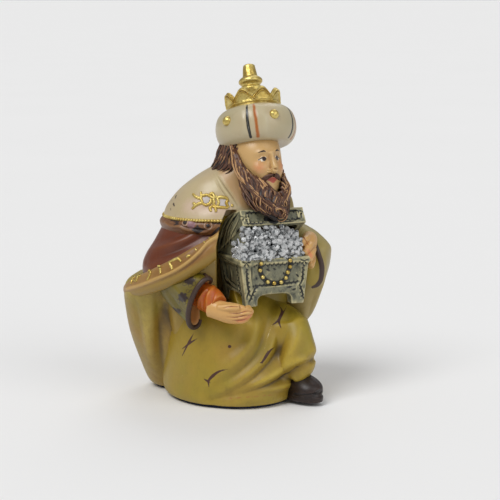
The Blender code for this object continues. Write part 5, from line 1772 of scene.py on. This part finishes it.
def lofted_bed(width, depth, height):
    """The rough bed of glue that the chips sit in."""
    half, deep = width / 2 - 1.4, depth / 2 - 1.4
    levels = []
    for y, z in ((-deep + 1.2, height - 1.2), (-deep + 2.4, height + 1.0), (-deep + 4.4, height + 6.2),
            (0, height + 4.4), (deep, height + 1.0)):
        levels.append([(-half, y, height - 4.0), (-half, y, z), (half, y, z), (half, y, height - 4.0)])
    bed = shaped("chip_bed", np.array(levels, float))
    skinned(bed, BED_SKIN)
    places, out = points(bed), normals(bed)
    ripple = np.sin(places[:, 0] * 2.7) * np.sin(places[:, 1] * 2.9) * np.sin(places[:, 2] * 2.5)
    move(bed, places + out * ripple[:, None] * 0.3)
    return on_chest(bed)


# The stage

SENSOR = 36.0


def build_stage(stage):
    deselect()
    bpy.ops.mesh.primitive_plane_add(size=stage.floor_size)
    floor = bpy.context.view_layer.objects.active
    floor.name = "studio_floor"
    made, shader, place = new_material("studio_floor")
    pale = [value * 255 for value in stage.floor_colour]
    link(place.noise(6, 2).mix(tone(*pale), tone(*[value * 0.99 for value in pale])), shader, "Base Color")
    shader.inputs["Roughness"].default_value = 0.9
    shader.inputs["Specular IOR Level"].default_value = 0.1
    floor.data.materials.append(made)
    world = bpy.data.worlds.new("studio")
    bpy.context.scene.world = world
    world.use_nodes = True
    world.node_tree.nodes["Background"].inputs[0].default_value = (1.0, 1.0, 1.0, 1.0)
    world.node_tree.nodes["Background"].inputs[1].default_value = stage.sky
    for name, azimuth, height, width, power in (
        ("key", -38, 52, 30, stage.key), ("fill", 50, 30, 40, stage.key * 0.35),
        ("rim", 170, 50, 40, stage.key * 0.3),
    ):
        deselect()
        bpy.ops.object.light_add(type="SUN", location=(0.0, 0.0, 0.5))
        light = bpy.context.view_layer.objects.active
        light.name = name
        light.data.angle = math.radians(width)
        light.data.energy = power
        a, h = math.radians(azimuth), math.radians(height)
        towards = Vector((math.sin(a) * math.cos(h), -math.cos(a) * math.cos(h), math.sin(h)))
        light.rotation_euler = towards.to_track_quat("Z", "Y").to_euler()
    deselect()
    bpy.ops.object.camera_add(location=Vector(EYE) * MM, rotation=(math.pi / 2 - EYE_RISE, 0.0, 0.0))
    camera = bpy.context.view_layer.objects.active
    camera.data.sensor_width = SENSOR
    camera.data.lens = SENSOR * EYE_DISTANCE / (2 * SHEET_MIDDLE * SHEET_STEP)
    camera.data.clip_start = 0.01
    camera.data.clip_end = 200.0
    bpy.context.scene.camera = camera
    bpy.context.scene.view_settings.view_transform = "Standard"


# The add-on


class FigureSizes(bpy.types.PropertyGroup):
    """How finely the figure is cast"""

    cloth_skin: FloatProperty(name="Cloth skin", description="Grain of the large cloths", default=0.00034,
        unit="LENGTH")
    fine_skin: FloatProperty(name="Fine skin", description="Grain of the small cloths", default=0.00028,
        unit="LENGTH")
    face_skin: FloatProperty(name="Face skin", description="Grain of the face and hands", default=0.00019,
        unit="LENGTH")
    chest_skin: FloatProperty(name="Chest skin", description="Grain of the chest's carving", default=0.00022,
        unit="LENGTH")


class ChestSizes(bpy.types.PropertyGroup):
    """The treasure chest"""

    width: FloatProperty(name="Width", description="Across the top", default=0.0231, unit="LENGTH")
    depth: FloatProperty(name="Depth", description="Front to back", default=0.0187, unit="LENGTH")
    height: FloatProperty(name="Height", description="Foot to rim", default=0.0149, unit="LENGTH")
    taper: FloatProperty(name="Taper", description="Share of the width left at the foot", default=0.86)
    lid_height: FloatProperty(name="Lid height", description="Height of the lid's front", default=0.0054,
        unit="LENGTH")
    lid_opening: FloatProperty(name="Lid opening", description="How far the lid is raised",
        default=math.radians(33), subtype="ANGLE")
    turn: FloatProperty(name="Turn", description="Turn about the upright", default=math.radians(23),
        subtype="ANGLE")
    foot: FloatVectorProperty(name="Foot", description="Middle of the chest's foot",
        default=(0.0131, -0.0117, 0.0333), subtype="TRANSLATION")
    bead: FloatProperty(name="Bead", description="Radius of a gilt bead", default=0.00068, unit="LENGTH")


class StageSettings(bpy.types.PropertyGroup):
    """The studio"""

    floor_size: FloatProperty(name="Floor", description="Side of the floor", default=120.0, unit="LENGTH")
    floor_colour: FloatVectorProperty(name="Floor colour", description="Screen colour of the floor",
        default=(0.925, 0.925, 0.925), subtype="COLOR")
    sky: FloatProperty(name="Sky", description="Strength of the light from all round", default=0.34)
    key: FloatProperty(name="Key light", description="Strength of the key light", default=1.75)


def operator(idname, label, words, build, settings="figure_sizes"):
    """An operator that builds one piece, or one group of like pieces, from its settings."""

    def execute(self, context):
        build(getattr(context.scene, settings))
        return {"FINISHED"}

    body = {"bl_idname": idname, "bl_label": label, "__doc__": words, "bl_options": {"REGISTER", "UNDO"},
        "execute": execute}
    name = "WISEMAN_OT_" + idname.split(".")[1]
    return type(name, (bpy.types.Operator,), body)


OPERATORS = [
    operator("wiseman.robe", "Robe", "Model the robe over the raised knee", build_robe),
    operator("wiseman.cloak", "Cloak", "Model the cloak's falls", build_cloak),
    operator("wiseman.mantle_band", "Mantle band", "Model the rolled edge of the mantle", build_mantle_band),
    operator("wiseman.shoulder_cloth", "Shoulder cloth", "Model the cloth over the shoulder",
        build_shoulder_cloth),
    operator("wiseman.border", "Border", "Model the jewelled border", build_border),
    operator("wiseman.capelet", "Capelet", "Model the short cape and its collar", build_capelet),
    operator("wiseman.near_sleeve", "Near sleeve", "Model the sleeve, its cuff and lining",
        build_near_sleeve),
    operator("wiseman.far_sleeve", "Far sleeve", "Model the far sleeve", build_far_sleeve),
    operator("wiseman.head", "Head", "Model and paint the head", build_head),
    operator("wiseman.hair", "Hair", "Model the hair and beard", build_hair),
    operator("wiseman.turban", "Turban", "Model the turban", build_turban),
    operator("wiseman.crown", "Crown", "Model the crown, its finial and the studs", build_crown),
    operator("wiseman.hands", "Hands", "Model both hands", build_hands),
    operator("wiseman.shoe", "Shoe", "Model the shoe", build_shoe),
    operator("wiseman.pad", "Pad", "Model the felt pad", build_pad),
    operator("wiseman.trim", "Gilt trim", "Model the gilt lines and hem", build_trim),
    operator("wiseman.chest", "Chest", "Model the chest and its raised lid", build_chest),
    operator("wiseman.beads", "Beads", "Model the string of beads", build_beads),
    operator("wiseman.chips", "Chips", "Model the heap of clear chips", build_chips),
    operator("wiseman.stage", "Stage", "Set up the floor, lights and camera", build_stage, "stage_settings"),
]


class WISEMAN_PT_panel(bpy.types.Panel):
    """Lists the pieces"""

    bl_label = "Wise Man"
    bl_idname = "WISEMAN_PT_panel"
    bl_space_type = "VIEW_3D"
    bl_region_type = "UI"
    bl_category = "Wise Man"

    def draw(self, context):
        for item in OPERATORS:
            self.layout.operator(item.bl_idname)
        for settings in (context.scene.figure_sizes, context.scene.chest_sizes, context.scene.stage_settings):
            for key in settings.__annotations__:
                self.layout.prop(settings, key)


CLASSES = [FigureSizes, ChestSizes, StageSettings, *OPERATORS, WISEMAN_PT_panel]


def register():
    for item in CLASSES:
        bpy.utils.register_class(item)
    bpy.types.Scene.figure_sizes = PointerProperty(type=FigureSizes)
    bpy.types.Scene.chest_sizes = PointerProperty(type=ChestSizes)
    bpy.types.Scene.stage_settings = PointerProperty(type=StageSettings)


def unregister():
    del bpy.types.Scene.stage_settings
    del bpy.types.Scene.chest_sizes
    del bpy.types.Scene.figure_sizes
    for item in reversed(CLASSES):
        bpy.utils.unregister_class(item)


def main():
    register()
    for item in OPERATORS:
        group, name = item.bl_idname.split(".")
        getattr(getattr(bpy.ops, group), name)()


if __name__ == "__main__":
    main()
